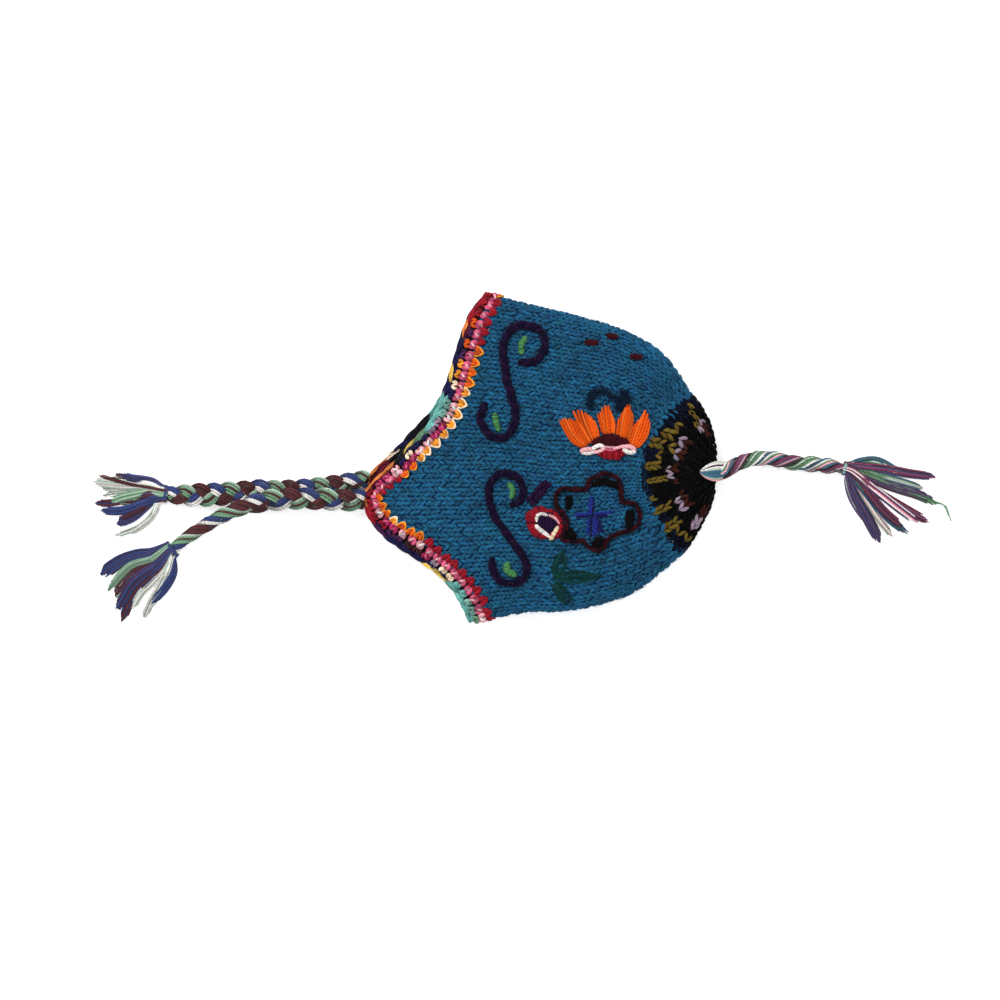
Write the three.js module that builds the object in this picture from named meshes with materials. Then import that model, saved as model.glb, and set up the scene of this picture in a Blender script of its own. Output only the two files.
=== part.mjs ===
// A knitted wool hat with two ear flaps, laid flat on its side.
// Millimetres, +Z up. The hat rests on z = 0 with its crown towards +X and its ear flaps towards -X.
// The upper fold of the flattened tube faces +Y and the lower fold faces -Y.
import * as THREE from 'three';

// Driving dimensions of the fabric and its pieces
const WALL = 4;
const GAP = 0.3;
const EDGING_GAP = 0.6;
const EDGING_WIDTH = { least: 12, most: 22 };
const EDGING_THICKNESS = 5;
const WIDTH_STEP = 0.25;
const SMOOTHING_PASSES = 2;
const WALES = 80;
const EDGING_SIDES = 8;
const BODY_ROWS = 10;
const CROWN_ROWS = 6;
const CROWN_START = 6;
const CROWN_GAP = 0.03;
const FOLD_HEIGHT = 0.42;
const TOP_DOME = { across: 3, up: 2.2 };
const BOTTOM_DOME = { across: 3.6, up: 2.2 };
const ROW_BOW_SOFTNESS = 0.25;
const FLAT_SNAP = 0.35;

// The middle of the flattened hat in the table's frame: the model's origin lies under it
const MIDDLE = { x: 0.24, y: 0.18 };

// Sections of the flattened tube from beyond the flap tips to the apex of the crown.
// up and low are the two folds, mid is the x of the middle of the row, floor and top its z range.
const SECTIONS = [
  { up: [-128, 136], low: [-132, -134], mid: -147, floor: 0, top: 13 },
  { up: [-96, 136], low: [-100, -134], mid: -116, floor: 0, top: 16.5 },
  { up: [-64, 134], low: [-68, -132], mid: -86, floor: 0, top: 21 },
  { up: [-33.6, 129.2], low: [-37.6, -128.6], mid: -55.2, floor: 0, top: 26 },
  { up: [3.2, 120.4], low: [-9.6, -124], mid: -19.2, floor: 0, top: 32 },
  { up: [33.6, 112.4], low: [27.2, -122], mid: 10.4, floor: 0, top: 37 },
  { up: [64, 103.6], low: [64, -113], mid: 37.6, floor: 0, top: 40.5 },
  { up: [89.6, 90], low: [83.2, -103], mid: 58.4, floor: 0, top: 42.5 },
  { up: [106.4, 74.8], low: [98.4, -91], mid: 74.4, floor: 0, top: 43 },
  { up: [119.2, 55.6], low: [117.6, -74], mid: 84, floor: 0, top: 43 },
  { up: [130.4, 40.4], low: [128, -58], mid: 98, floor: 0, top: 41 },
  { up: [138.4, 23.6], low: [137.6, -39.6], mid: 113.5, floor: 0.6, top: 36.5 },
  { up: [141.6, 6], low: [140.8, -25], mid: 128, floor: 5, top: 28.5 },
  { up: [142, -10.5], low: [142, -10.5], mid: 142, floor: 17, top: 17 },
];
const RIM_SECTION = 3;
const APEX = SECTIONS.length - 1 - RIM_SECTION;
const FLAP_END = -RIM_SECTION;

// The knitted edge along the rim and round the top flap, from the upper fold to the lower one
const KNIT_EDGE = [
  { y: 134, x: -26 }, { y: 127.6, x: -29 }, { y: 104, x: -38.5 }, { y: 80, x: -45.5 },
  { y: 55, x: -53 }, { y: 30, x: -62 }, { y: 14, x: -74 }, { y: 0, x: -89 },
  { y: -14, x: -102 }, { y: -24, x: -116.5 }, { y: -31.6, x: -125.6 }, { y: -40, x: -121 },
  { y: -50, x: -111 }, { y: -63, x: -88 }, { y: -80, x: -68.5 }, { y: -97, x: -51.5 },
  { y: -113, x: -40.5 }, { y: -127, x: -36 }, { y: -134, x: -35 },
];
// The border's outer edge, from the upper fold round the top flap's tip to the lower fold
const BORDER_EDGE = [
  { y: 140, x: -36 }, { y: 132.4, x: -42.4 }, { y: 122.8, x: -51.2 }, { y: 114.8, x: -56.8 },
  { y: 97, x: -63.5 }, { y: 74.8, x: -70.4 }, { y: 55.6, x: -76 }, { y: 42, x: -81.6 },
  { y: 30, x: -87.2 }, { y: 20.4, x: -95.2 }, { y: 10, x: -104.8 }, { y: 2, x: -114.4 },
  { y: -6.8, x: -120.8 }, { y: -16.4, x: -128.8 }, { y: -24.4, x: -135.2 }, { y: -32, x: -139.5 },
  { y: -40.8, x: -144.4 }, { y: -46, x: -142.4 }, { y: -51.6, x: -136 }, { y: -59.6, x: -128 },
  { y: -69.2, x: -118.4 }, { y: -78.8, x: -106 }, { y: -91.6, x: -84 }, { y: -101.2, x: -73.6 },
  { y: -114, x: -65.6 }, { y: -127.6, x: -59.2 }, { y: -140, x: -50 },
];
// The bottom flap lies a little nearer the upper fold, so its edge peeks out
const BOTTOM_FLAP_SHIFT = { y: 13, x: 4, reach: 129 };

// The wales that end at the two flap tips, where the border turns sharply
const FLAP_TIP_WALES = [25.2, 56.6];
const TIP_REACH = 2.6;

// Routes of the plaited cords, chosen by hand along the middle of each plait
const UNDER_TIE = [
  [-139.4, -19, 5.9], [-146, -19, 6], [-155.2, -21.2, 6], [-171.2, -24.4, 6],
  [-188, -26.2, 6], [-204, -26.8, 6], [-220, -26.8, 6], [-236.8, -28, 6],
  [-252.8, -29.2, 6], [-269.6, -30, 6], [-285.6, -30, 6], [-297.6, -29.6, 6],
];
const OVER_TIE = [
  [-141.9, -34.2, 13], [-149, -34.2, 15.8], [-157, -34, 17.4], [-171.2, -33.4, 18],
  [-187.6, -33, 18.1], [-204, -33.2, 18.1], [-220.2, -35, 18], [-236.8, -39.6, 17],
  [-252.8, -46.4, 14], [-269.2, -55.6, 9.2], [-283.6, -65, 6.4], [-292.6, -72.4, 6],
];
const TOPKNOT = [
  [142.3, -11, 21], [148.4, -11, 22], [156.5, -6, 19.6], [166.4, -2.4, 14],
  [175, -0.8, 9.4], [184.2, -0.4, 6.7], [195.2, -2.2, 6], [206.4, -4.6, 6],
  [220.8, -5.4, 6], [235.2, -6.8, 6], [243.4, -8.4, 6],
];
const TIE_SECTION = { width: 19, thickness: 11, steps: 18 };
const TOPKNOT_SECTION = { width: 15, thickness: 11, steps: 14 };
const SECTION_SIDES = 10;

// Outlines of the tassels as they fan out on the floor
const UNDER_FAN = [
  [-305.8, -24.5], [-324, -17.5], [-340, -11.8], [-355, -13.2], [-359, -20], [-354, -28],
  [-359, -36.5], [-354, -47], [-341, -57], [-331, -62.6], [-318, -51], [-305.8, -36],
];
const OVER_FAN = [
  [-298.4, -78.8], [-313.4, -76.8], [-330, -80.6], [-349, -91], [-350, -100], [-342, -114],
  [-336, -131], [-327, -127], [-317, -130], [-308, -113], [-295.6, -94], [-290, -85.8],
];
const TOPKNOT_FAN = [
  [252.6, -4.6], [262, -1.4], [276, -3.6], [296, -11], [318, -16.4], [313, -26],
  [318, -35], [312, -44], [313, -55], [299, -62], [279.6, -67], [260, -46], [250.4, -17],
];
const FAN = { depth: 5, bevel: 1.6, bevelSteps: 1, curvePoints: 36 };
const BINDING = { radius: 5.6, neck: 4.4, length: 7.6, sides: 12 };

// Uniform Catmull-Rom value of a list of numbers at a place counted in list steps
function along(values, place) {
  const last = values.length - 1;
  const i = Math.max(0, Math.min(Math.floor(place), last - 1));
  const f = place - i;
  const p1 = values[i];
  const p2 = values[i + 1];
  const p0 = i > 0 ? values[i - 1] : 2 * p1 - p2;
  const p3 = i + 2 <= last ? values[i + 2] : 2 * p2 - p1;
  const a = 2 * p1;
  const b = p2 - p0;
  const c = 2 * p0 - 5 * p1 + 4 * p2 - p3;
  const d = 3 * p1 - p0 - 3 * p2 + p3;
  return 0.5 * (a + (b + (c + d * f) * f) * f);
}

// One section of the tube at place s: 0 is the rim, APEX the top of the crown, below 0 the flaps
function sectionAt(s) {
  const place = s - FLAP_END;
  const pick = (read) => along(SECTIONS.map(read), place);
  return {
    upX: pick((row) => row.up[0]),
    upY: pick((row) => row.up[1]),
    lowX: pick((row) => row.low[0]),
    lowY: pick((row) => row.low[1]),
    mid: pick((row) => row.mid),
    floor: Math.max(0, pick((row) => row.floor)),
    top: pick((row) => row.top),
  };
}

// How far a row has bowed from its middle (0) to the fold (1)
function rowBow(v) {
  const k = ROW_BOW_SOFTNESS * ROW_BOW_SOFTNESS;
  const full = Math.sqrt(1 + k);
  return (full - Math.sqrt(1 - v * v + k)) / (full - Math.sqrt(k));
}

// A point of a section: angle 0 is the upper fold, PI / 2 the top, PI the lower fold
function sectionPoint(section, angle) {
  const dome = angle <= Math.PI ? TOP_DOME : BOTTOM_DOME;
  const c = Math.cos(angle);
  const v = Math.sign(c) * Math.pow(Math.abs(c), 2 / dome.across);
  const h = Math.pow(Math.abs(Math.sin(angle)), 2 / dome.up);
  const centreY = (section.upY + section.lowY) / 2;
  const foldX = v > 0 ? section.upX : section.lowX;
  const foldZ = section.floor + FOLD_HEIGHT * (section.top - section.floor);
  const reachZ = angle <= Math.PI ? section.top - foldZ : section.floor - foldZ;
  const z = foldZ + reachZ * h;
  return new THREE.Vector3(
    section.mid + (foldX - section.mid) * rowBow(v),
    centreY + (v * (section.upY - section.lowY)) / 2,
    z - section.floor < FLAT_SNAP ? section.floor : z,
  );
}

// Angles of points spaced evenly along half a row: part 0 is the top layer, part 1 the bottom
const ARC_SAMPLES = 120;
const FOLD_NUDGE = 1e-6;
function evenAngles(section, part, count) {
  const angles = [];
  const lengths = [0];
  let before = sectionPoint(section, part * Math.PI + FOLD_NUDGE);
  angles.push(part * Math.PI + FOLD_NUDGE);
  for (let i = 1; i <= ARC_SAMPLES; i++) {
    const angle = (part + i / ARC_SAMPLES) * Math.PI - (i === ARC_SAMPLES ? FOLD_NUDGE : 0);
    const point = sectionPoint(section, angle);
    lengths.push(lengths[i - 1] + point.distanceTo(before));
    angles.push(angle);
    before = point;
  }
  const total = lengths[ARC_SAMPLES];
  const found = [];
  for (let k = 0; k < count; k++) {
    const want = (k / count) * total;
    let i = 1;
    while (i < ARC_SAMPLES && lengths[i] < want) i++;
    const f = (want - lengths[i - 1]) / Math.max(lengths[i] - lengths[i - 1], 1e-9);
    found.push(angles[i - 1] + f * (angles[i] - angles[i - 1]));
  }
  return found;
}

// Rings of outer points at finely spaced places, so that a wale can be followed along them
const FINE_STEP = 0.05;
const NORMAL_STEP = 0.15;
const fineRings = [];
for (let s = FLAP_END; s <= APEX + 1e-9; s += FINE_STEP) {
  const section = sectionAt(s);
  const angles = [...evenAngles(section, 0, WALES / 2), ...evenAngles(section, 1, WALES / 2)];
  fineRings.push(angles.map((angle) => sectionPoint(section, angle)));
}
function walePoint(wale, s) {
  const place = Math.min((s - FLAP_END) / FINE_STEP, fineRings.length - 1.001);
  const i = Math.max(0, Math.floor(place));
  const onRing = (ring) => {
    const w = Math.floor(wale + WALES) % WALES;
    return ring[w].clone().lerp(ring[(w + 1) % WALES], wale - Math.floor(wale));
  };
  return onRing(fineRings[i]).lerp(onRing(fineRings[i + 1]), place - i);
}

// An edge's x at y, on the top layer or the shifted bottom one
function edgeX(table, y, bottom) {
  const reach = Math.max(0, 1 - (y / BOTTOM_FLAP_SHIFT.reach) ** 2);
  const at = bottom ? y - BOTTOM_FLAP_SHIFT.y * reach : y;
  let i = 1;
  while (i < table.length - 1 && table[i].y > at) i++;
  const a = table[i - 1];
  const b = table[i];
  const f = Math.max(0, Math.min(1, (a.y - at) / (a.y - b.y)));
  return a.x + f * (b.x - a.x) + (bottom ? BOTTOM_FLAP_SHIFT.x * reach : 0);
}
function edgePlace(wale) {
  let low = FLAP_END;
  let high = 2;
  for (let n = 0; n < 30; n++) {
    const s = (low + high) / 2;
    const p = walePoint(wale, s);
    if (p.x < edgeX(KNIT_EDGE, p.y, wale > WALES / 2)) low = s;
    else high = s;
  }
  return (low + high) / 2;
}

// The outward direction at a place of one wale, and the point one wall thickness inside it
function outwardAt(wale, s) {
  const around = walePoint(wale + 1, s).sub(walePoint(wale - 1, s));
  const ahead = walePoint(wale, Math.min(s + NORMAL_STEP, APEX)).sub(walePoint(wale, s - NORMAL_STEP));
  return around.cross(ahead).normalize();
}
function insidePoint(wale, s) {
  return walePoint(wale, s).addScaledVector(outwardAt(wale, s), -WALL);
}

function meshFrom(positions, faces) {
  const geometry = new THREE.BufferGeometry();
  geometry.setAttribute('position', new THREE.Float32BufferAttribute(positions, 3));
  geometry.setIndex(faces);
  geometry.computeVertexNormals();
  return geometry;
}

// A closed wall from an outer and an inner grid; each grid may end in one apex point
function wallGeometry(outer, inner, apexOut, apexIn) {
  const positions = [];
  const faces = [];
  const put = (p) => {
    positions.push(p.x, p.y, p.z);
    return positions.length / 3 - 1;
  };
  const outerIds = outer.map((row) => row.map(put));
  const innerIds = inner.map((row) => row.map(put));
  const quad = (a, b, c, d) => faces.push(a, b, c, a, c, d);
  const last = outer.length - 1;
  for (let i = 0; i < WALES; i++) {
    const n = (i + 1) % WALES;
    for (let j = 0; j < last; j++) {
      quad(outerIds[j][i], outerIds[j][n], outerIds[j + 1][n], outerIds[j + 1][i]);
      quad(innerIds[j][n], innerIds[j][i], innerIds[j + 1][i], innerIds[j + 1][n]);
    }
    quad(innerIds[0][i], innerIds[0][n], outerIds[0][n], outerIds[0][i]);
    if (!apexOut) quad(outerIds[last][i], outerIds[last][n], innerIds[last][n], innerIds[last][i]);
  }
  if (apexOut) {
    const tipOut = put(apexOut);
    const tipIn = put(apexIn);
    for (let i = 0; i < WALES; i++) {
      const n = (i + 1) % WALES;
      faces.push(outerIds[last][i], outerIds[last][n], tipOut);
      faces.push(innerIds[last][n], innerIds[last][i], tipIn);
    }
  }
  return meshFrom(positions, faces);
}

const wales = [...Array(WALES).keys()];
const edgePlaces = wales.map(edgePlace);

function bodyGeometry() {
  const places = [];
  for (let j = 0; j <= BODY_ROWS; j++) {
    const f = j / BODY_ROWS;
    places.push(wales.map((i) => edgePlaces[i] + f * (CROWN_START - edgePlaces[i])));
  }
  const outer = places.map((row) => row.map((s, i) => walePoint(i, s)));
  const inner = places.map((row) => row.map((s, i) => insidePoint(i, s)));
  return wallGeometry(outer, inner);
}

function crownGeometry() {
  const start = CROWN_START + CROWN_GAP;
  const outer = [];
  const inner = [];
  for (let j = 0; j < CROWN_ROWS; j++) {
    const s = start + ((APEX - start) * j) / CROWN_ROWS;
    outer.push(wales.map((i) => walePoint(i, s)));
    inner.push(wales.map((i) => insidePoint(i, s)));
  }
  const apex = walePoint(0, APEX);
  return wallGeometry(outer, inner, apex, apex.clone().add(new THREE.Vector3(-WALL, 0, 0)));
}

// How wide the border is at a place of the knitted edge, so that it ends on its outer edge
function borderWidth(from, outward, bottom) {
  let width = EDGING_WIDTH.least;
  while (width < EDGING_WIDTH.most) {
    const reach = EDGING_GAP + width;
    const x = from.x + outward.x * reach;
    if (x < edgeX(BORDER_EDGE, from.y + outward.y * reach, bottom)) break;
    width += WIDTH_STEP;
  }
  return width;
}

// The border: a flat oval ring that carries on the fabric's surface past its edge
function edgingGeometry() {
  const finely = (i) => FLAP_TIP_WALES.some((tip) => Math.abs(i + 0.5 - tip) < TIP_REACH);
  const places = wales.flatMap((i) => (finely(i) ? [i, i + 0.25, i + 0.5, i + 0.75] : [i]));
  const count = places.length;
  const edge = places.map((w) => walePoint(w, edgePlace(w)));
  const next = (i) => (i + 1) % count;
  const previous = (i) => (i + count - 1) % count;
  const tangents = places.map((_, i) => edge[next(i)].clone().sub(edge[previous(i)]).normalize());
  const normals = places.map((w) => outwardAt(w, edgePlace(w)));
  let outward = tangents.map((t, i) => t.clone().cross(normals[i]).normalize());
  for (let pass = 0; pass < SMOOTHING_PASSES; pass++) {
    const now = outward;
    const beside = (i) => now[previous(i)].clone().add(now[next(i)]);
    outward = now.map((d, i) => beside(i).addScaledVector(d, 2).normalize());
  }
  let widths = places.map((w, i) => borderWidth(edge[i], outward[i], w > WALES / 2));
  for (let pass = 0; pass < SMOOTHING_PASSES; pass++) {
    const now = widths;
    widths = now.map((d, i) => (now[previous(i)] + now[next(i)] + 2 * d) / 4);
  }
  const positions = [];
  edge.forEach((p, i) => {
    const middle = p.clone().addScaledVector(outward[i], EDGING_GAP + widths[i] / 2);
    middle.addScaledVector(normals[i], -EDGING_THICKNESS / 2);
    middle.z = Math.max(middle.z, EDGING_THICKNESS / 2);
    for (let k = 0; k < EDGING_SIDES; k++) {
      const angle = ((k + 0.5) / EDGING_SIDES) * Math.PI * 2;
      const across = Math.cos(angle) / Math.cos(Math.PI / EDGING_SIDES);
      const up = Math.sin(angle) / Math.cos(Math.PI / EDGING_SIDES);
      const q = middle.clone();
      q.addScaledVector(outward[i], (across * widths[i]) / 2);
      q.addScaledVector(normals[i], (up * EDGING_THICKNESS) / 2);
      positions.push(q.x, q.y, Math.max(q.z, 0));
    }
  });
  const faces = [];
  for (let i = 0; i < count; i++) {
    for (let k = 0; k < EDGING_SIDES; k++) {
      const a = i * EDGING_SIDES + k;
      const b = i * EDGING_SIDES + ((k + 1) % EDGING_SIDES);
      const c = next(i) * EDGING_SIDES + ((k + 1) % EDGING_SIDES);
      const d = next(i) * EDGING_SIDES + k;
      faces.push(a, c, b, a, d, c);
    }
  }
  return meshFrom(positions, faces);
}

// A plait's outer form: an oval section drawn along its route
function plaitGeometry(route, { width, thickness, steps }) {
  const section = new THREE.Shape();
  for (let k = 0; k < SECTION_SIDES; k++) {
    const angle = (k / SECTION_SIDES) * Math.PI * 2;
    const x = (Math.cos(angle) * width) / 2;
    const y = (Math.sin(angle) * thickness) / 2;
    if (k === 0) section.moveTo(x, y);
    else section.lineTo(x, y);
  }
  section.closePath();
  const path = new THREE.CatmullRomCurve3(route.map((p) => new THREE.Vector3(...p)), false, 'centripetal');
  return new THREE.ExtrudeGeometry(section, { steps, bevelEnabled: false, extrudePath: path });
}

// The wrapped yarn that ties a plait off: a barrel drawn along the plait's last direction
function bindingGeometry(route) {
  const profile = [
    new THREE.Vector2(0, -BINDING.length / 2),
    new THREE.Vector2(BINDING.neck, -BINDING.length / 2),
    new THREE.Vector2(BINDING.radius, -BINDING.length / 4),
    new THREE.Vector2(BINDING.radius, BINDING.length / 4),
    new THREE.Vector2(BINDING.neck, BINDING.length / 2),
    new THREE.Vector2(0, BINDING.length / 2),
  ];
  const end = new THREE.Vector3(...route[route.length - 1]);
  const direction = end.clone().sub(new THREE.Vector3(...route[route.length - 2])).setZ(0).normalize();
  const geometry = new THREE.LatheGeometry(profile, BINDING.sides);
  geometry.applyQuaternion(new THREE.Quaternion().setFromUnitVectors(new THREE.Vector3(0, 1, 0), direction));
  const middle = end.addScaledVector(direction, GAP + BINDING.length / 2);
  return geometry.translate(middle.x, middle.y, middle.z);
}

// A tassel's outer form: its fanned outline, a few millimetres thick, on the floor
function fanGeometry(outline) {
  const curve = new THREE.SplineCurve(outline.map(([x, y]) => new THREE.Vector2(x, y)));
  const shape = new THREE.Shape(curve.getPoints(FAN.curvePoints));
  const geometry = new THREE.ExtrudeGeometry(shape, {
    depth: FAN.depth,
    bevelSize: FAN.bevel,
    bevelThickness: FAN.bevel,
    bevelSegments: FAN.bevelSteps,
    bevelOffset: -FAN.bevel,
  });
  return geometry.translate(0, 0, FAN.bevel);
}

const hat = new THREE.Group();
hat.position.set(-MIDDLE.x, -MIDDLE.y, 0);

function add(name, geometry, color, roughness) {
  const material = new THREE.MeshStandardMaterial({ color, roughness, metalness: 0 });
  const mesh = new THREE.Mesh(geometry, material);
  mesh.name = name;
  hat.add(mesh);
}

add('knit_body', bodyGeometry(), 0x1b6a90, 0.92);
add('knit_crown', crownGeometry(), 0x17161a, 0.95);
add('crochet_edging', edgingGeometry(), 0xc23a5e, 0.9);
const cords = [
  { name: 'tie_under', route: UNDER_TIE, section: TIE_SECTION, fan: UNDER_FAN, color: 0x6f9a74 },
  { name: 'tie_over', route: OVER_TIE, section: TIE_SECTION, fan: OVER_FAN, color: 0x6f9a74 },
  { name: 'topknot', route: TOPKNOT, section: TOPKNOT_SECTION, fan: TOPKNOT_FAN, color: 0x8a6fa0 },
];
for (const cord of cords) {
  add(`${cord.name}_braid`, plaitGeometry(cord.route, cord.section), cord.color, 0.85);
  add(`${cord.name}_binding`, bindingGeometry(cord.route), 0x2e4480, 0.85);
  add(`${cord.name}_tassel`, fanGeometry(cord.fan), cord.color, 0.85);
}

export default hat;
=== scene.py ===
# %% [markdown]
# # A knitted earflap hat
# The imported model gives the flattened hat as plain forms: a knitted tube, a black crown, a border,
# two plaited ties and a plaited topknot. This lesson dresses those forms stitch by stitch.
# Every length is written in millimetres on the table and turned into metres once, in one helper.

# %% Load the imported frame
import math
import bpy
import numpy as np
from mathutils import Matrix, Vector
from mathutils.bvhtree import BVHTree


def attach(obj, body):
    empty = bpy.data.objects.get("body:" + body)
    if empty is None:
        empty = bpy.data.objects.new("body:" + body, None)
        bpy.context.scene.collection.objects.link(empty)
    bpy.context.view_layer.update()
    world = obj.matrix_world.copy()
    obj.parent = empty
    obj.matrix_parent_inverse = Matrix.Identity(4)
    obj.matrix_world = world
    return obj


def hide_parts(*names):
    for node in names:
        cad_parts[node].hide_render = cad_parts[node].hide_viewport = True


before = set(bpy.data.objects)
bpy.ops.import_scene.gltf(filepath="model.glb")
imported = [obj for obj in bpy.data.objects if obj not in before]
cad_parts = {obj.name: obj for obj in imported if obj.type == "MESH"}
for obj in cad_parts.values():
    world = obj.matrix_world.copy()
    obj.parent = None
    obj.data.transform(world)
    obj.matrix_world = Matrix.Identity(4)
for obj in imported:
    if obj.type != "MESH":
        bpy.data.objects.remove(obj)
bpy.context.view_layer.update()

print("packed nodes:", ", ".join(sorted(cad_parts)))

# %% [markdown]
# ## Where things are
# The hat was laid out on a grid: one step of the photograph's grid is 0.8 mm on the table.
# Pieces that were placed one by one keep their grid spots; `on_table` turns spots into millimetres.
# The model's origin lies under the middle of the flattened tube, so `to_frame` shifts everything once.

# %% Table, grid and frame
MM = 0.001
TABLE_MIDDLE = np.array([0.24, 0.18, 0.0])
GRID_STEP = 0.8
GRID_ZERO = np.array([539.0, 457.5])
CHANCE = np.random.default_rng(20)


def on_table(spots):
    """Millimetres on the table for spots of the photograph's grid."""
    spots = np.asarray(spots, float)
    return (spots - GRID_ZERO) * [GRID_STEP, -GRID_STEP]


def to_frame(points):
    """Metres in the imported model's frame for millimetres on the table."""
    return (np.asarray(points, float) - TABLE_MIDDLE) * MM


# %% [markdown]
# ## Camera
# The hat was photographed from straight above with a long lens. The camera comes first, because
# the loose ties are judged by what it sees. Its picture takes in 800 mm across.

# %% Camera
VIEW_MIDDLE = on_table([500.0, 500.0])
VIEW_WIDTH = 800.0
VIEW_HEIGHT = 14.0
LENS = 130.0
SENSOR = 36.0
FARTHEST = 20.0


def put_in_scene(name, data):
    """A new object of the scene that shows some data."""
    made = bpy.data.objects.new(name, data)
    bpy.context.scene.collection.objects.link(made)
    return made


camera = put_in_scene("camera", bpy.data.cameras.new("camera"))
camera.data.lens = LENS
camera.data.sensor_width = SENSOR
camera.data.dof.use_dof = False
camera.data.clip_end = FARTHEST
stand_off = VIEW_WIDTH * LENS / SENSOR
camera.location = Vector(to_frame([*VIEW_MIDDLE, VIEW_HEIGHT + stand_off]))
bpy.context.scene.camera = camera
print("camera height above the table:", round(stand_off + VIEW_HEIGHT), "mm")

# %% [markdown]
# ## Lines
# Yarn is laid along lines, and every line starts as a few given points. A Blender curve
# could smooth them, but thousands of strands are quicker to work out as arrays. `flow` draws a
# smooth curve through the points, and the helpers round it measure and read such lines.

# %% Smooth lines
FLOW_STEPS = 24


def unit(vectors):
    """Vectors of length one."""
    return vectors / np.maximum(np.linalg.norm(vectors, axis=-1, keepdims=True), 1e-9)


def length_of(line):
    """How long a line of points is."""
    return np.linalg.norm(np.diff(line, axis=0), axis=1).sum()


def run_of(line):
    """How far along its line each point is."""
    return np.concatenate([[0], np.cumsum(np.linalg.norm(np.diff(line, axis=0), axis=1))])


def read_line(line, run, want):
    """Points of a line at the distances wanted; run says how far along its own points are."""
    return np.stack([np.interp(want, run, column) for column in line.T], axis=-1)


def with_ends(points):
    """The points and one more beyond each end, straight on."""
    return np.concatenate([2 * points[:1] - points[1:2], points, 2 * points[-1:] - points[-2:-1]])


def between(p0, p1, p2, p3, f):
    """The smooth curve a share f of the way from p1 to p2; p0 and p3 are the points beyond."""
    bend = (2 * p0 - 5 * p1 + 4 * p2 - p3) * f * f
    twist = (3 * p1 - p0 - 3 * p2 + p3) * f * f * f
    return 0.5 * (2 * p1 + (p2 - p0) * f + bend + twist)


def flow(points, count, closed=False):
    """A smooth line through the points, as evenly spaced points."""
    points = np.asarray(points, float)
    points = np.concatenate([points[-1:], points, points[:2]]) if closed else with_ends(points)
    places = np.linspace(0, len(points) - 3 - 1e-9, FLOW_STEPS * len(points))
    i = places.astype(int)
    fine = between(points[i], points[i + 1], points[i + 2], points[i + 3], (places - i)[:, None])
    run = run_of(fine)
    return read_line(fine, run, np.linspace(0, run[-1], count))


def level_ways(line):
    """For each point of a line in space, the way ahead and the level way to its right."""
    ahead = unit(np.gradient(line, axis=0))
    return ahead, unit(np.cross(ahead, (0, 0, 1)))


def flat_ways(line):
    """For each point of a line on the table, the way ahead and the way to its left."""
    ahead = unit(np.gradient(line, axis=0))
    return ahead, np.stack([-ahead[:, 1], ahead[:, 0]], axis=1)


# %% [markdown]
# ## Yarn
# Nearly everything here is yarn: a round strand, thicker in its middle or evenly thick, that follows
# a path. One helper spins many strands at once with numpy, which is far quicker than one curve
# object for each of several thousand stitches, and gives plain closed meshes.
# Each strand keeps a texture map: how far round it a point is, and how many millimetres along.

# %% Strands
TIP = 0.6
MAP_SHIFT = 40


def spin(paths, radius, colours, up=(0, 0, 1), sides=7, flat=1.0):
    """Closed strands along many paths; flat is how thick a strand is for its width."""
    paths = np.asarray(paths, float)
    count, rings = paths.shape[:2]
    radius = np.broadcast_to(radius, (count, rings))
    ahead = unit(np.gradient(paths, axis=1))
    side = unit(np.cross(ahead, np.broadcast_to(up, paths.shape)))
    over = np.cross(side, ahead)
    angle = 2 * np.pi * np.arange(sides) / sides
    ring = np.cos(angle)[:, None] * side[:, :, None] + flat * np.sin(angle)[:, None] * over[:, :, None]
    skin = paths[:, :, None] + radius[:, :, None, None] * ring
    ends = paths[:, [0, -1]] + ahead[:, [0, -1]] * radius[:, [0, -1], None] * np.array([-TIP, TIP])[:, None]
    points = np.concatenate([skin.reshape(count, -1, 3), ends], axis=1)
    r, s = np.indices((rings - 1, sides)).reshape(2, -1)
    n = (s + 1) % sides
    quads = np.stack([r * sides + s, (r + 1) * sides + s, (r + 1) * sides + n, r * sides + n], axis=1)
    turn = np.stack([s, s, s + 1, s + 1], axis=1)
    s, n, last = s[:sides], n[:sides], (rings - 1) * sides
    tip = np.full(sides, rings * sides)
    caps = np.concatenate([np.stack([s, n, tip], axis=1), np.stack([last + n, last + s, tip + 1], axis=1)])
    steps = np.linalg.norm(np.diff(paths, axis=1), axis=2)
    run = np.concatenate([np.zeros((count, 1)), np.cumsum(steps, axis=1)], axis=1)
    run = run + CHANCE.uniform(0, MAP_SHIFT, (count, 1))
    quad_map = np.stack(np.broadcast_arrays(turn / sides, run[:, quads // sides]), axis=-1)
    cap_turn = np.stack([s, s + 1, s + 0.5], axis=1)
    cap_turn = np.concatenate([cap_turn, cap_turn[:, [1, 0, 2]]]) / sides
    cap_ring = np.minimum(caps // sides, rings - 1)
    cap_ring[:sides, 2] = 0
    cap_map = np.stack(np.broadcast_arrays(cap_turn, run[:, cap_ring]), axis=-1)
    start = (np.arange(count) * points.shape[1])[:, None, None]
    colours = np.broadcast_to(np.asarray(colours, float), (count, 3))
    return {
        "points": points.reshape(-1, 3),
        "quads": (quads + start).reshape(-1, 4),
        "triangles": (caps + start).reshape(-1, 3),
        "maps": np.concatenate([quad_map.reshape(-1, 2), cap_map.reshape(-1, 2)]),
        "dye": np.repeat(colours, points.shape[1], axis=0),
    }


def shaded(strands, shade, sides):
    """The same strands with painted shade: their dye times a shade for each ring, darker where they lie deep.
    """
    count = len(strands["points"]) // (len(shade) * sides + 2)
    by_point = np.concatenate([np.repeat(shade, sides), shade[[0, -1]]])
    return strands | {"dye": strands["dye"] * np.tile(by_point, count)[:, None]}
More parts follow.
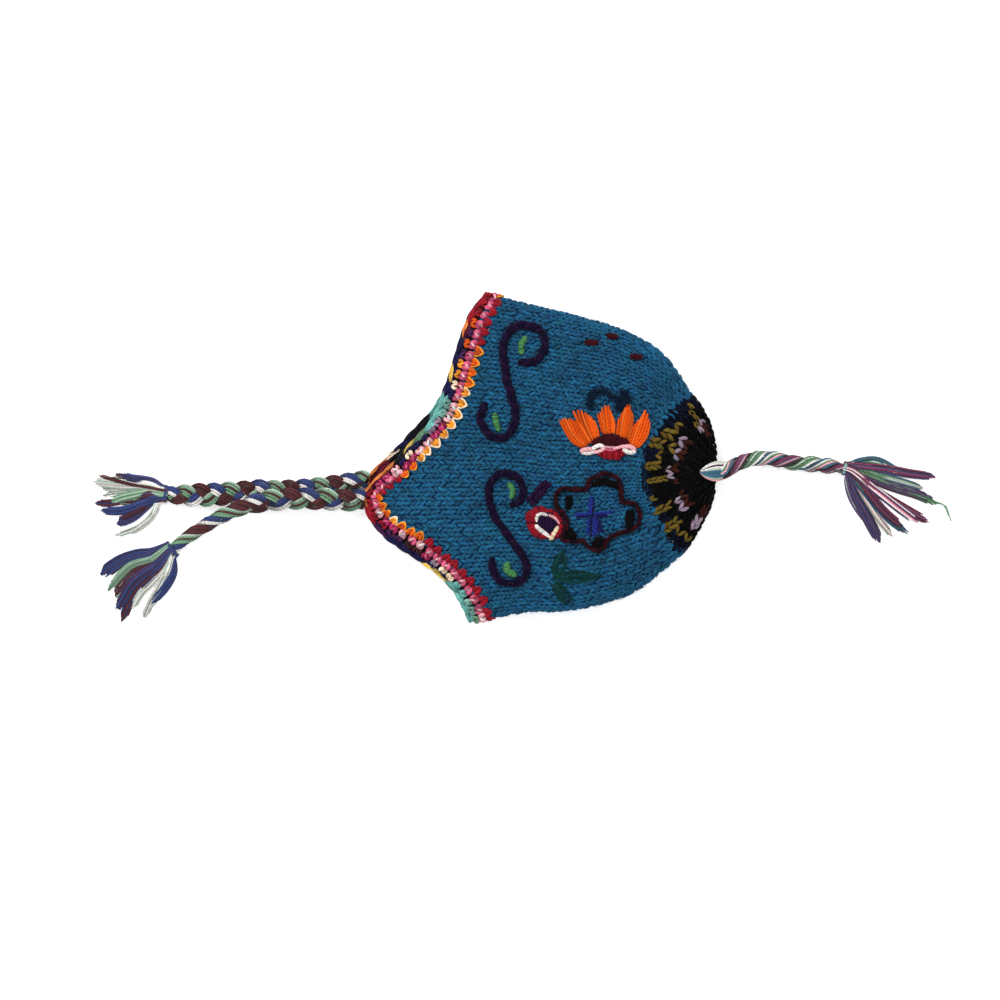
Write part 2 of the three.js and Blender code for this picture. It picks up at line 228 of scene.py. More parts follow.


# %% [markdown]
# ## Pieces
# A piece is any number of strands or plain grids joined in one mesh. Its dye is kept on the points,
# so that one wool finish serves a border or a plait of many colours. Each piece rides on the hat's
# one body.

# %% Joining strands in one piece
def join(parts):
    """One set of arrays from several."""
    counts = np.cumsum([0] + [len(part["points"]) for part in parts])
    whole = {key: np.concatenate([part[key] for part in parts]) for key in ("points", "dye")}
    for key in ("quads", "triangles"):
        whole[key] = np.concatenate([part[key] + shift for part, shift in zip(parts, counts)])
    quad_maps = [part["maps"][:4 * len(part["quads"])] for part in parts]
    cap_maps = [part["maps"][4 * len(part["quads"]):] for part in parts]
    whole["maps"] = np.concatenate(quad_maps + cap_maps)
    return whole


def closed_quads(rows, columns):
    """Corners of the quads of a tube of rows that closes on itself both ways."""
    r, c = np.indices((rows, columns)).reshape(2, -1)
    n, m = (c + 1) % columns, (r + 1) % rows
    return np.stack([r * columns + c, r * columns + n, m * columns + n, m * columns + c], axis=1)


def plain_part(points, quads, triangles, colours):
    """The arrays of a plain mesh; its texture map is laid on from above."""
    spots = points[np.concatenate([quads.ravel(), triangles.ravel()])]
    maps = np.stack([spots[:, 1] / 4, spots[:, 0]], axis=1)
    return {"points": points, "quads": quads, "triangles": triangles, "maps": maps, "dye": colours}


def sew(name, parts, finish, floor=0.05):
    """A mesh piece that rides on the hat; nothing of it goes below the table."""
    whole = join(parts)
    points = whole["points"].copy()
    points[:, 2] = np.maximum(points[:, 2], floor)
    quads, triangles = whole["quads"], whole["triangles"]
    mesh = bpy.data.meshes.new(name)
    mesh.vertices.add(len(points))
    mesh.vertices.foreach_set("co", to_frame(points).ravel())
    corners = np.concatenate([quads.ravel(), triangles.ravel()])
    mesh.loops.add(len(corners))
    mesh.loops.foreach_set("vertex_index", corners)
    mesh.polygons.add(len(quads) + len(triangles))
    starts = np.concatenate([np.arange(len(quads)) * 4, len(quads) * 4 + np.arange(len(triangles)) * 3])
    mesh.polygons.foreach_set("loop_start", starts)
    mesh.polygons.foreach_set("use_smooth", np.ones(len(starts), bool))
    mesh.update(calc_edges=True)
    mesh.uv_layers.new(name="yarn").data.foreach_set("uv", whole["maps"].ravel())
    colours = np.concatenate([whole["dye"], np.ones((len(points), 1))], axis=1)
    mesh.attributes.new("dye", "FLOAT_COLOR", "POINT").data.foreach_set("color", colours.ravel())
    mesh.materials.append(finish)
    piece = put_in_scene(name, mesh)
    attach(piece, "root")
    print(f"{name}: {2 * len(quads) + len(triangles)} triangles")
    return piece


# %% [markdown]
# ## Dyes
# The colours were judged and named as a dyer would name them. They are written as they look
# on a screen and turned into the plain light values that Blender mixes.

# %% Dyes
SCREEN_DYES = {
    "teal": (16, 84, 120), "deep teal": (0, 66, 112), "pale teal": (40, 100, 138),
    "black": (6, 6, 8), "ink": (14, 12, 22), "midnight": (10, 15, 32), "ground blue": (17, 40, 66),
    "navy": (22, 20, 70), "royal": (34, 44, 126), "blue": (50, 64, 118), "slate": (44, 58, 108),
    "dusty blue": (60, 106, 132), "sea grey": (122, 168, 158), "turquoise": (112, 184, 176),
    "leaf": (74, 146, 84), "grass": (84, 120, 86), "pine": (14, 58, 54), "moss": (99, 82, 31),
    "sage": (112, 152, 120), "pale sage": (170, 190, 174), "white": (232, 228, 224),
    "cream": (246, 222, 190), "yellow": (232, 196, 92), "amber": (240, 150, 44),
    "orange": (222, 86, 16), "highlight orange": (232, 108, 38), "peach": (218, 124, 58),
    "red": (158, 26, 42), "rim red": (150, 14, 34), "dark red": (124, 16, 28),
    "wine": (82, 32, 38), "deep wine": (92, 14, 38), "maroon": (60, 12, 20),
    "star maroon": (52, 14, 26), "star dark": (32, 12, 20), "brown": (58, 26, 20),
    "pink": (208, 86, 122), "pale pink": (232, 168, 176), "old pink": (196, 150, 160),
    "raspberry": (140, 56, 88), "magenta": (164, 36, 88), "plum": (70, 44, 64),
    "purple": (74, 30, 78), "dash purple": (42, 17, 56), "night purple": (17, 7, 36),
    "aubergine": (27, 11, 40), "mauve": (84, 66, 104), "lilac": (146, 127, 144),
}


def dye(name, shade=1.0):
    """A dye as plain light, darker or lighter by its shade."""
    screen = np.array(SCREEN_DYES[name]) / 255
    return np.where(screen <= 0.04045, screen / 12.92, ((screen + 0.055) / 1.055) ** 2.4) * shade


def dyes(names, spread=0.12):
    """One dye for each name, each a little lighter or darker, as dyed wool is."""
    shades = CHANCE.normal(1, spread, len(names)).clip(0.6, 1.45)
    return np.array([dye(name) for name in names]) * shades[:, None]


def in_turn(names, count):
    """As many names as needed, taken in turn."""
    return [names[k % len(names)] for k in range(count)]


print("dyes:", len(SCREEN_DYES))

# %% [markdown]
# ## Writing materials as sums
# A material is a net of nodes. Wrapping a socket in a small class lets the net be written as plain
# sums; every other node comes from one method that takes the node's kind, its settings and values.

# %% Wires and recipes
class Wire:
    """One output socket of a recipe, usable in sums."""

    def __init__(self, recipe, socket):
        self.recipe = recipe
        self.socket = socket

    def maths(self, operation, first, second=0.0):
        return self.recipe.node("ShaderNodeMath", {"operation": operation}, {0: first, 1: second})["Value"]

    def __add__(self, other):
        return self.maths("ADD", self, other)

    def __radd__(self, other):
        return self.maths("ADD", other, self)

    def __sub__(self, other):
        return self.maths("SUBTRACT", self, other)

    def __rsub__(self, other):
        return self.maths("SUBTRACT", other, self)

    def __mul__(self, other):
        return self.maths("MULTIPLY", self, other)

    def __rmul__(self, other):
        return self.maths("MULTIPLY", other, self)

    def sine(self):
        return self.maths("SINE", self)

    def absolute(self):
        return self.maths("ABSOLUTE", self)


class Recipe:
    """The node net of one material."""

    def __init__(self, name):
        self.material = bpy.data.materials.new(name)
        self.material.use_nodes = True
        self.tree = self.material.node_tree
        self.tree.nodes.clear()

    def socket(self, sockets, key):
        if isinstance(key, int):
            return sockets[key]
        named = [s for s in sockets if s.identifier == key] or [s for s in sockets if s.name == key]
        return named[0]

    def node(self, kind, settings=None, values=None):
        made = self.tree.nodes.new(kind)
        for key, value in (settings or {}).items():
            setattr(made, key, value)
        for key, value in (values or {}).items():
            entry = self.socket(made.inputs, key)
            if isinstance(value, Wire):
                self.tree.links.new(value.socket, entry)
            else:
                entry.default_value = value
        return Outputs(self, made)

    def blend(self, first, second, way):
        settings = {"data_type": "RGBA", "blend_type": way}
        values = {"Factor_Float": 1.0, "A_Color": first, "B_Color": second}
        return self.node("ShaderNodeMix", settings, values)["Result_Color"]

    def grey(self, value):
        return self.node("ShaderNodeCombineXYZ", None, {"X": value, "Y": value, "Z": value})["Vector"]

    def finish(self, values):
        shader = self.node("ShaderNodeBsdfPrincipled", None, values)["BSDF"]
        self.node("ShaderNodeOutputMaterial", None, {"Surface": shader})
        return self.material


class Outputs:
    """The outputs of a node, by name."""

    def __init__(self, recipe, made):
        self.recipe = recipe
        self.made = made

    def __getitem__(self, key):
        return Wire(self.recipe, self.recipe.socket(self.made.outputs, key))


# %% [markdown]
# ## Wool
# Hand-knitting wool is soft and dull. Its plies run round it in a slow spiral, its fibres lie along
# it unevenly, and their ends stand off as a fine halo that catches the light: a little sheen, and
# a pale haze added to the dye as painted sheen.
# Embroidery floss has the same build but finer plies and a smoother face. One recipe makes both:
# the grooves between plies come from the strand's own map and are darkened as painted shade, the
# fibres from stretched noise.

# %% The wool recipe
COARSE_FIBRES, FINE_FIBRES = 260.0, 1500.0
RELIEF_DEPTH = 0.0004


def wool(name, plies, pitch, groove_shade, fleck, roughness, gloss, painted_sheen=0.0):
    """A wool finish; pitch is how many millimetres its plies take to run once round the strand."""
    recipe = Recipe(name)
    colour = recipe.node("ShaderNodeAttribute", {"attribute_name": "dye"})["Color"]
    place = recipe.node("ShaderNodeUVMap", {"uv_map": "yarn"})["UV"]
    parts = recipe.node("ShaderNodeSeparateXYZ", None, {"Vector": place})
    spiral = (parts["X"] * plies + parts["Y"] * (1 / pitch)) * math.pi
    ply = spiral.sine().absolute()
    spot = recipe.node("ShaderNodeTexCoord")["Object"]
    coarse, fine = [
        recipe.node("ShaderNodeTexNoise", {"noise_dimensions": "3D"},
                    {"Vector": spot, "Scale": scale, "Detail": 2.0})["Fac"]
        for scale in (COARSE_FIBRES, FINE_FIBRES)]
    light = fine * 0.6 + coarse * 0.4
    # painted shade darkens the grooves between plies; the fibre noise only varies the wool's tone
    shade = (1 - fleck / 2) + light * fleck - (1 - ply) * groove_shade
    dyed = recipe.blend(colour, recipe.grey(shade), "MULTIPLY")
    # painted sheen: a pale haze added to the dye where the fine fibre noise is high
    painted_haze = fine * fine * (2.2 * painted_sheen)
    dyed = recipe.blend(dyed, recipe.grey(painted_haze), "ADD")
    relief = ply * 0.7 + fine * 0.5
    bump = recipe.node("ShaderNodeBump", None,
                       {"Height": relief, "Distance": RELIEF_DEPTH, "Strength": 0.6})["Normal"]
    return recipe.finish({
        "Base Color": dyed, "Roughness": (roughness - 0.08) + fine * 0.16, "Normal": bump,
        "Specular IOR Level": gloss, "Sheen Weight": 0.03, "Sheen Roughness": 0.45,
    })


KNIT_WOOL = wool("knitting wool", plies=2, pitch=5.0, groove_shade=0.3, fleck=0.9, roughness=0.85,
                 gloss=0.08, painted_sheen=0.011)
BLACK_WOOL = wool("black knitting wool", plies=2, pitch=5.0, groove_shade=0.3, fleck=0.9, roughness=0.9,
                  gloss=0.03)
CROCHET_WOOL = wool("crochet wool", plies=3, pitch=4.5, groove_shade=0.55, fleck=1.0, roughness=0.6,
                    gloss=0.12)
PLAIT_WOOL = wool("plaiting wool", plies=2, pitch=3.0, groove_shade=0.35, fleck=0.9, roughness=0.6,
                  gloss=0.15, painted_sheen=0.012)
FLOSS = wool("embroidery floss", plies=2, pitch=3.2, groove_shade=0.35, fleck=0.7, roughness=0.75,
             gloss=0.05)
print("materials:", [material.name for material in bpy.data.materials])

# %% [markdown]
# ## Plaits
# A tie is a plait of three strands of nine yarns each. In a flat plait every strand swings from
# side to side and passes over and under twice as often; where the tie has rolled on its edge it
# reads as a rope, whose strands circle each other. One number between 0 and 1, the roll, blends the
# two lays along the tie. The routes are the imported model's own, so a plait lies where its form is.

# %% The plaits' routes
UNDER_TIE = [
    (-139.4, -19, 5.9), (-146, -19, 6), (-155.2, -21.2, 6), (-171.2, -24.4, 6),
    (-188, -26.2, 6), (-204, -26.8, 6), (-220, -26.8, 6), (-236.8, -28, 6),
    (-252.8, -29.2, 6), (-269.6, -30, 6), (-285.6, -30, 6), (-297.6, -29.6, 6),
]
OVER_TIE = [
    (-141.9, -34.2, 13), (-149, -34.2, 15.8), (-157, -34, 17.4), (-171.2, -33.4, 18),
    (-187.6, -33, 18.1), (-204, -33.2, 18.1), (-220.2, -35, 18), (-236.8, -39.6, 17),
    (-252.8, -46.4, 14), (-269.2, -55.6, 9.2), (-283.6, -65, 6.4), (-292.6, -72.4, 6),
]
TOPKNOT = [
    (142.3, -11, 21), (148.4, -11, 22), (156.5, -6, 19.6), (166.4, -2.4, 14),
    (175, -0.8, 9.4), (184.2, -0.4, 6.7), (195.2, -2.2, 6), (206.4, -4.6, 6),
    (220.8, -5.4, 6), (235.2, -6.8, 6), (243.4, -8.4, 6),
]
print("points of the routes:", len(UNDER_TIE), len(OVER_TIE), len(TOPKNOT))

# %% [markdown]
# A strand's nine yarns lie in two rows, five above four, and turn with the strand as it swings. The
# yarns are darker where a strand dives under the others, where little light reaches on a real plait,
# and a few loose fibres stand off the whole.

# %% Strands of a plait
SEWN_IN = 1.8
PLAIT_STEP = 2.4
YARN_SIDES, UNDER_SHADE = 7, 0.35
FLAT_SWAY, ROLLED_SWAY, ROLLED_RISE = 0.29, 0.26, 0.18
YARN_ACROSS, YARN_OUTWARD, YARN_WANDER = 1.7, 1.35, 0.32
YARN_SPOTS = [(-2, 0.55), (-1, 0.9), (0, 1.0), (1, 0.9), (2, 0.55),
              (-1.5, -0.7), (-0.5, -0.9), (0.5, -0.9), (1.5, -0.7)]


def stray_fibres(line, width, names, count):
    """Short loose fibres over a plait."""
    at = CHANCE.integers(2, len(line) - 3, count)
    ahead, side = (way[at] for way in level_ways(line))
    angle = CHANCE.uniform(0.12 * np.pi, 0.88 * np.pi, (count, 1))
    radial = np.cos(angle) * side * width * 0.46 + np.sin(angle) * np.array([0, 0, width * 0.3])
    heading = unit(ahead * CHANCE.normal(0, 1, (count, 1)) + side * CHANCE.normal(0, 0.6, (count, 1)))
    steps = np.linspace(-1, 1, 4)[None, :, None]
    paths = (line[at] + radial)[:, None] + heading[:, None] * steps * CHANCE.uniform(1.2, 3, (count, 1, 1))
    paths = paths + unit(radial)[:, None] * CHANCE.normal(0.5, 0.5, (count, 4, 1))
    return spin(paths, 0.12, dyes(in_turn(names, count), 0.25), sides=3)


def plait(cord):
    """Strands of yarn for one cord's plait."""
    width, yarn, hand = cord["width"], cord["yarn"], cord["hand"]
    route = np.asarray(cord["route"], float)
    route = np.concatenate([route[:1] + unit(route[0] - route[1]) * SEWN_IN, route])
    reach = length_of(route)
    line = flow(route, int(reach / PLAIT_STEP))
    run = np.linspace(0, reach, len(line))[:, None]
    part = run[:, 0] / reach
    ahead, side = level_ways(line)
    over = np.cross(side, ahead)
    rolled = np.interp(part, *zip(*cord["roll"]))[:, None]
    nip = np.interp(part, *zip(*cord["taper"]))[:, None]
    parts = []
    for k, names in enumerate(cord["strands"]):
        swing = 2 * np.pi * (run / cord["pitch"] + k / 3 + cord["phase"])
        sway = hand * (width * FLAT_SWAY * (1 - rolled) + width * ROLLED_SWAY * rolled) * np.sin(swing)
        rise = cord["lift"] * (1 - rolled) * np.sin(2 * swing) + width * ROLLED_RISE * rolled * np.cos(swing)
        middle = line + nip * (sway * side + rise * over)
        forward = unit(np.gradient(middle, axis=0))
        radial = hand * np.sin(swing) * side + np.cos(swing) * over
        outer = (1 - rolled) * over + rolled * radial
        across = unit(np.cross(forward, outer))
        outer = np.cross(across, forward)
        height = (1 - rolled) * np.sin(2 * swing) + rolled * np.cos(swing)
        fullness = 0.96 + 0.24 * height + 0.07 * np.sin(run / 17 + 2 * k)
        paths = []
        for p, q in YARN_SPOTS:
            wander = np.sin(run / CHANCE.uniform(6, 11) + CHANCE.uniform(0, 6.3)) * YARN_WANDER
            sideways = (p * fullness * yarn * YARN_ACROSS + wander) * across
            paths.append(middle + nip * (sideways + q * yarn * YARN_OUTWARD * outer))
        ups = np.broadcast_to(outer, (len(paths), *outer.shape))
        plump = yarn * (1 + 0.12 * height[:, 0])
        shade = np.interp(height[:, 0], (-0.3, 0.55), (UNDER_SHADE, 1))
        parts.append(shaded(spin(paths, plump, dyes(names), ups, sides=YARN_SIDES), shade, YARN_SIDES))
    fibre_names = cord["strands"][1] + cord["strands"][0]
    parts.append(stray_fibres(line, width * float(nip.mean()), fibre_names, int(reach * 0.6)))
    return parts


# %% [markdown]
# ## Bindings
# Each plait is tied off with a few tight turns of yarn. The turns are one strand wound round a short
# core; a core is needed because real turns close up and no light shows through them. The core is
# dyed at 0.4 of the turns' colour, as painted shade.

# %% Bindings
BINDING = {"length": 3.2, "half_height": 3.5, "yarn": 0.7, "turns": 3}


def binding(route, name, half_width):
    """A wound binding just beyond the end of a plait, and the place that its tassel starts from."""
    end = np.array(route[-1], float)
    ahead = end - np.array(route[-2], float)
    ahead[2] = 0
    ahead = unit(ahead)
    middle = end + ahead * (0.3 + BINDING["length"] / 2)
    side = np.cross(ahead, (0, 0, 1))
    half = BINDING["length"] / 2 - BINDING["yarn"]
    up = np.array([0, 0, 1.0])
    angle = np.linspace(0, 2 * np.pi * BINDING["turns"], 18 * BINDING["turns"])[:, None]
    radial = np.sin(angle) * side + np.cos(angle) * up
    turn = np.sin(angle) * side * half_width + np.cos(angle) * up * BINDING["half_height"]
    path = middle + turn + ahead * np.linspace(-half, half, len(angle))[:, None]
    wound = spin([path], BINDING["yarn"], dyes([name]), radial[None], sides=8)
    core = middle + ahead * np.linspace(-1, 1, 7)[:, None] * (BINDING["length"] / 2)
    girth = half_width * np.array([0.85, 0.94, 0.96, 0.96, 0.96, 0.94, 0.85])
    flat = BINDING["half_height"] / half_width
    # painted shade: the core is dyed much darker than the turns
    shaded_filling = spin([core], girth, dye(name, 0.4), sides=14, flat=flat)
    return [wound, shaded_filling], {"middle": middle, "ahead": ahead, "side": side, "neck": half_width * 0.92}


# %% [markdown]
# ## Tassels
# Beyond the binding the plait's yarns spread over the table in locks of a few yarns that keep their
# colour together. Each lock is a given line; its yarns start close together at the binding
# and open a little towards their cut ends, which aren't quite level.

# %% Tassels
FRINGE_YARN = 0.64
YARN_GAP = 1.5
FRINGE_RINGS = 20
FRINGE_THIN = np.concatenate([np.linspace(0.9, 1, 5), np.linspace(1, 0.8, 15)])


def tassel(tied, locks, yarn, hand):
    """Yarns of one tassel: each lock is (dye names, width at its end, layer, grid spots)."""
    parts = []
    middle, ahead, across = tied["middle"], tied["ahead"], tied["side"]
    t = np.linspace(0, 1, FRINGE_RINGS)[:, None]
    opening = 0.42 + 0.68 * np.sin(np.minimum(1, t * 1.25) * np.pi / 2) - 0.12 * t ** 4
    settle = np.clip((t - 0.04) * 2.2, 0, 1)
    settle = settle * settle * (3 - 2 * settle)
    for number, (names, spread, layer, spots) in enumerate(locks):
        share = 1 - 2 * number / (len(locks) - 1)
        place = hand * share * tied["neck"]
        root = middle + across * place - ahead * 1.5
        leave = middle + across * place * 1.1 + ahead * 3.4
        line = np.concatenate([[root[:2], leave[:2]], on_table(spots)])
        count = max(2, round(spread / (yarn * YARN_GAP)))
        rhythm = CHANCE.uniform(0, 6.3)
        dome = math.sqrt(1 - 0.8 * share ** 2)
        for level in (0, 1):
            paths = []
            for j in range(count - level):
                lean = j - (count - level - 1) / 2
                ragged = abs(lean) / max(1, (count - level) / 2)
                cut = 1 - 0.1 * ragged ** 1.5 - CHANCE.uniform(0, 0.04)
                path = flow(flow(line, 48)[:int(48 * cut)], FRINGE_RINGS)
                _, left = flat_ways(path)
                wander = np.sin(t * CHANCE.uniform(3, 6) + CHANCE.uniform(0, 6.3)) * 0.28 * t
                wave = np.sin(t * 5.5 + rhythm) * 0.5 * t
                path = path - left * (lean * yarn * YARN_GAP * opening + wander + wave)
                resting = yarn + 1.2 * yarn * (layer + level * 0.9)
                start = middle[2] + BINDING["half_height"] * dome * (0.35 + 0.3 * layer - 0.5 * level)
                z = start * (1 - settle) + resting * settle + 0.3 * np.sin(t * 7 + j) * t * yarn
                paths.append(np.concatenate([path, z], axis=1))
            picked = in_turn(names, count)[level:]
            parts.append(spin(paths, yarn * FRINGE_THIN, dyes(picked, 0.28), sides=5))
    return parts


UNDER_LOCKS = [
    (["blue", "slate", "plum"], 6.5, 1.6, [(150, 481), (130, 478), (119, 474)]),
    (["wine", "plum"], 4.5, 0.8, [(148, 483), (130, 479), (112, 473)]),
    (["sage", "white", "pale sage"], 6.0, 0.6, [(146, 485), (128, 480), (108, 477)]),
    (["wine"], 3.0, 2.4, [(146, 487), (125, 483), (94, 475)]),
    (["white", "pale sage", "white", "white"], 8.5, 1.0, [(148, 486), (122, 484), (90, 481)]),
    (["white", "pale sage"], 6.0, 0.4, [(146, 489), (122, 488), (98, 488)]),
    (["pale sage", "white"], 5.0, 0.2, [(146, 492), (122, 493), (100, 496)]),
    (["sage", "sage", "pale sage"], 6.5, 2.0, [(150, 492), (140, 493), (120, 497), (108, 503)]),
    (["wine", "plum", "wine", "slate"], 6.0, 0.8, [(146, 494), (124, 499), (106, 503), (91, 503)]),
    (["wine", "sage", "wine"], 5.5, 0.5, [(146, 497), (130, 502), (112, 501)]),
    (["blue", "slate", "blue"], 7.0, 1.6, [(155, 498), (140, 504), (120, 510), (97, 511)]),
    (["blue", "blue", "plum"], 8.5, 1.2, [(152, 500), (140, 509), (130, 517), (114, 525)]),
    (["wine", "plum"], 4.5, 2.0, [(152, 499), (142, 508), (132, 514), (119, 519)]),
    (["white", "pale sage"], 5.0, 0.2, [(156, 503), (150, 515), (138, 527), (112, 536)]),
    (["white", "white", "pale sage"], 6.0, 0.4, [(158, 502), (154, 512), (145, 522), (126, 534)]),
]
OVER_LOCKS = [
    (["blue", "slate", "blue", "plum"], 8.5, 1.6,
     [(150, 552), (136, 554), (120, 560), (105, 570), (99, 577)]),
    (["slate", "plum"], 5.0, 1.0, [(150, 555), (128, 561), (112, 571), (103, 579)]),
    (["sage", "sage", "pale sage"], 7.0, 1.4, [(150, 559), (130, 566), (114, 581), (105, 592)]),
    (["wine", "plum", "wine"], 6.5, 1.0, [(152, 560), (140, 567), (125, 578), (112, 598)]),
    (["white", "pale sage"], 6.0, 0.4, [(148, 564), (128, 577), (115, 593)]),
    (["white", "sage"], 5.5, 0.2, [(150, 567), (134, 578), (120, 590), (113, 600)]),
    (["blue", "slate", "blue", "wine"], 8.5, 1.8, [(155, 566), (143, 574), (130, 586), (114, 612)]),
    (["wine", "wine", "plum", "slate"], 7.5, 0.8, [(156, 569), (142, 582), (128, 602), (119, 624)]),
    (["white", "sage", "pale sage"], 6.0, 0.3, [(157, 571), (144, 588), (132, 604), (127, 612)]),
    (["white", "white", "pale sage"], 7.0, 1.2, [(162, 570), (150, 584), (140, 594), (130, 610)]),
    (["wine", "slate"], 4.5, 1.6, [(160, 566), (154, 575), (146, 583), (139, 590)]),
    (["white", "pale sage", "white"], 7.0, 0.8, [(166, 570), (157, 588), (149, 603), (142, 621)]),
    (["white"], 5.0, 0.4, [(169, 569), (162, 584), (155, 597), (147, 610)]),
    (["slate", "blue", "slate"], 7.0, 1.4, [(173, 562), (172, 573), (164, 587), (150, 605)]),
]
TOPKNOT_LOCKS = [
    (["slate", "dusty blue", "grass"], 5.0, 1.0, [(862, 460), (880, 460), (900, 470), (910, 475)]),
    (["grass", "white", "sage"], 6.0, 1.2, [(862, 462), (882, 465), (903, 473)]),
    (["mauve", "raspberry", "plum", "mauve"], 7.5, 1.6, [(864, 466), (888, 469), (912, 474), (939, 477)]),
    (["white", "dusty blue", "sage", "pale sage"], 6.5, 1.0,
     [(862, 468), (886, 477), (910, 484), (928, 489)]),
    (["mauve", "plum", "mauve"], 8.0, 1.4, [(862, 472), (882, 482), (910, 492), (938, 500)]),
    (["grass", "sage", "grass"], 6.5, 1.2, [(870, 475), (885, 481), (900, 487), (925, 497), (940, 505)]),
    (["raspberry", "plum", "raspberry", "mauve"], 8.0, 1.6, [(860, 476), (878, 491), (902, 506), (932, 524)]),
    (["pale pink", "white", "mauve", "raspberry"], 7.0, 2.2,
     [(857, 474), (872, 486), (892, 501), (921, 524)]),
    (["plum", "raspberry", "plum"], 6.5, 1.8, [(855, 475), (870, 493), (885, 510), (905, 528)]),
    (["dusty blue", "grass", "slate"], 7.0, 0.8, [(855, 478), (870, 496), (890, 518), (911, 535)]),
    (["white", "old pink", "sage"], 7.0, 0.4, [(854, 478), (866, 498), (880, 520), (895, 538)]),
    (["mauve", "plum", "slate", "mauve"], 9.0, 1.6, [(850, 478), (856, 495), (868, 515), (883, 544)]),
    (["white", "pale sage", "mauve"], 5.5, 0.2, [(848, 480), (852, 494), (860, 510), (869, 524)]),
    (["grass", "sage"], 2.0, 0.1, [(866, 470), (900, 482), (938, 503), (946, 505), (953, 524)]),
]
print("locks:", len(UNDER_LOCKS), len(OVER_LOCKS), len(TOPKNOT_LOCKS))

# %% [markdown]
# ## The three loose cords
# Each cord lies along the route that its form was drawn on. Its row here says how it is laid: the
# width of the plait, how far its strands rise over each other, how long one turn of them is and where
# it starts, how the plait rolls and tapers on its way, and the radius of its yarns. `bound` is half
# the width of its binding.

# %% Making the cords
TIE_STRANDS = [
    ["sage", "sage", "wine", "sage", "pale sage", "sage", "wine", "sage", "sage"],
    ["wine", "wine", "brown", "wine", "wine", "slate", "wine", "brown", "slate"],
    ["white", "white", "slate", "slate", "slate", "pale sage", "wine", "slate", "white"],
]
TOPKNOT_STRANDS = [
    ["grass", "pale sage", "grass", "sage", "white", "grass", "grass", "sage", "grass"],
    ["plum", "raspberry", "mauve", "old pink", "plum", "plum", "raspberry", "mauve", "plum"],
    ["dusty blue", "white", "sage", "pale pink", "dusty blue", "white", "slate", "old pink", "white"],
]
SEWN_TAPER = [(0, 0.85), (0.03, 1), (0.88, 1), (1, 0.66)]
THIN_TAPER = [(0, 0.85), (0.03, 1), (0.5, 1), (0.68, 0.8), (0.9, 0.74), (1, 0.58)]
CORDS = [
    {"name": "tie_under", "route": UNDER_TIE, "slot": "tie_wool", "hand": 1,
     "width": 19, "lift": 2.3, "pitch": 36, "phase": 0.1, "taper": SEWN_TAPER,
     "roll": [(0, 0.5), (0.3, 0.2), (0.5, 0.1), (1, 0)], "yarn": 0.98, "strands": TIE_STRANDS,
     "wound": "blue", "bound": 6.2, "locks": UNDER_LOCKS},
    {"name": "tie_over", "route": OVER_TIE, "slot": "tie_wool", "hand": 1,
     "width": 18, "lift": 2.3, "pitch": 43, "phase": 0.45, "taper": THIN_TAPER,
     "roll": [(0, 0.3), (0.4, 0.25), (0.6, 0.7), (1, 1)], "yarn": 0.94, "strands": TIE_STRANDS,
     "wound": "blue", "bound": 5.9, "locks": OVER_LOCKS},
    {"name": "topknot", "route": TOPKNOT, "slot": "topknot_wool", "hand": -1,
     "width": 15, "lift": 2.0, "pitch": 43, "phase": 0.2, "taper": SEWN_TAPER,
     "roll": [(0, 1), (0.4, 0.9), (0.7, 0.7), (1, 0.6)], "yarn": 0.8, "strands": TOPKNOT_STRANDS,
     "wound": "sea grey", "bound": 5.0, "locks": TOPKNOT_LOCKS},
]
for cord in CORDS:
    name, route, slot = cord["name"], cord["route"], cord["slot"]
    braid = sew(f"{name}_plait", plait(cord), PLAIT_WOOL)
    wound, tied_end = binding(route, cord["wound"], cord["bound"])
    tied = sew(f"{name}_wrap", wound, PLAIT_WOOL)
    fringe = tassel(tied_end, cord["locks"], FRINGE_YARN, cord["hand"])
    loose = sew(f"{name}_fringe", fringe, PLAIT_WOOL)
    line = to_frame(flow(route, 36))
    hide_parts(f"{name}_braid")
    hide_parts(f"{name}_binding")
    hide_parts(f"{name}_tassel")
    tuple(line[0])
    cord["width"] * MM

# %% [markdown]
# Where the topknot starts, its yarns are drawn through the tip of the crown. A flat loop of them
# lies over the black wool before they turn into the plait.

# %% The topknot's root
ROOT_LINE = [(128.5, -11.6, 28.3), (133, -11.6, 29.6), (141, -11, 27), (150, -10, 23), (156, -8, 20.5)]
ROOT_OPENING = [0.05, 0.62, 1.0, 0.8, 0.4]
ROOT_SINKING = [0, 1.4, 2.6, 2.4, 0]
ROOT_RADIUS = 0.95
ROOT_YARNS = [(8.0, "white"), (6.3, "white"), (4.8, "plum"), (3.2, "white"), (1.6, "pale sage"),
              (0.0, "dusty blue"), (-1.7, "dusty blue"), (-3.4, "dusty blue"), (-5.1, "dusty blue"),
              (-6.7, "pale sage"), (-8.2, "pale pink")]
root_paths = []
for away, _ in ROOT_YARNS:
    spots = np.array(ROOT_LINE)
    spots[:, 1] += away * 0.88 * np.array(ROOT_OPENING)
    spots[:, 2] -= (away / 8) ** 2 * np.array(ROOT_SINKING)
    root_paths.append(flow(spots, 22))
root_dyes = dyes([name for _, name in ROOT_YARNS], 0.06)
sew("topknot_root", [spin(root_paths, ROOT_RADIUS, root_dyes)], PLAIT_WOOL)

# %% [markdown]
# ## The form of the cloth
# The knitted tube is flattened on the table, so each round of stitches is a low bowed oval. The same
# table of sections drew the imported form: the two folds, the middle of the row, and its lowest and
# highest point. `cloth` gives a point of the outer face for a place round the hat, where 0 is the
# upper fold and 0.5 the lower one, and a place up it, where 0 is the rim and 10 the tip of the crown.

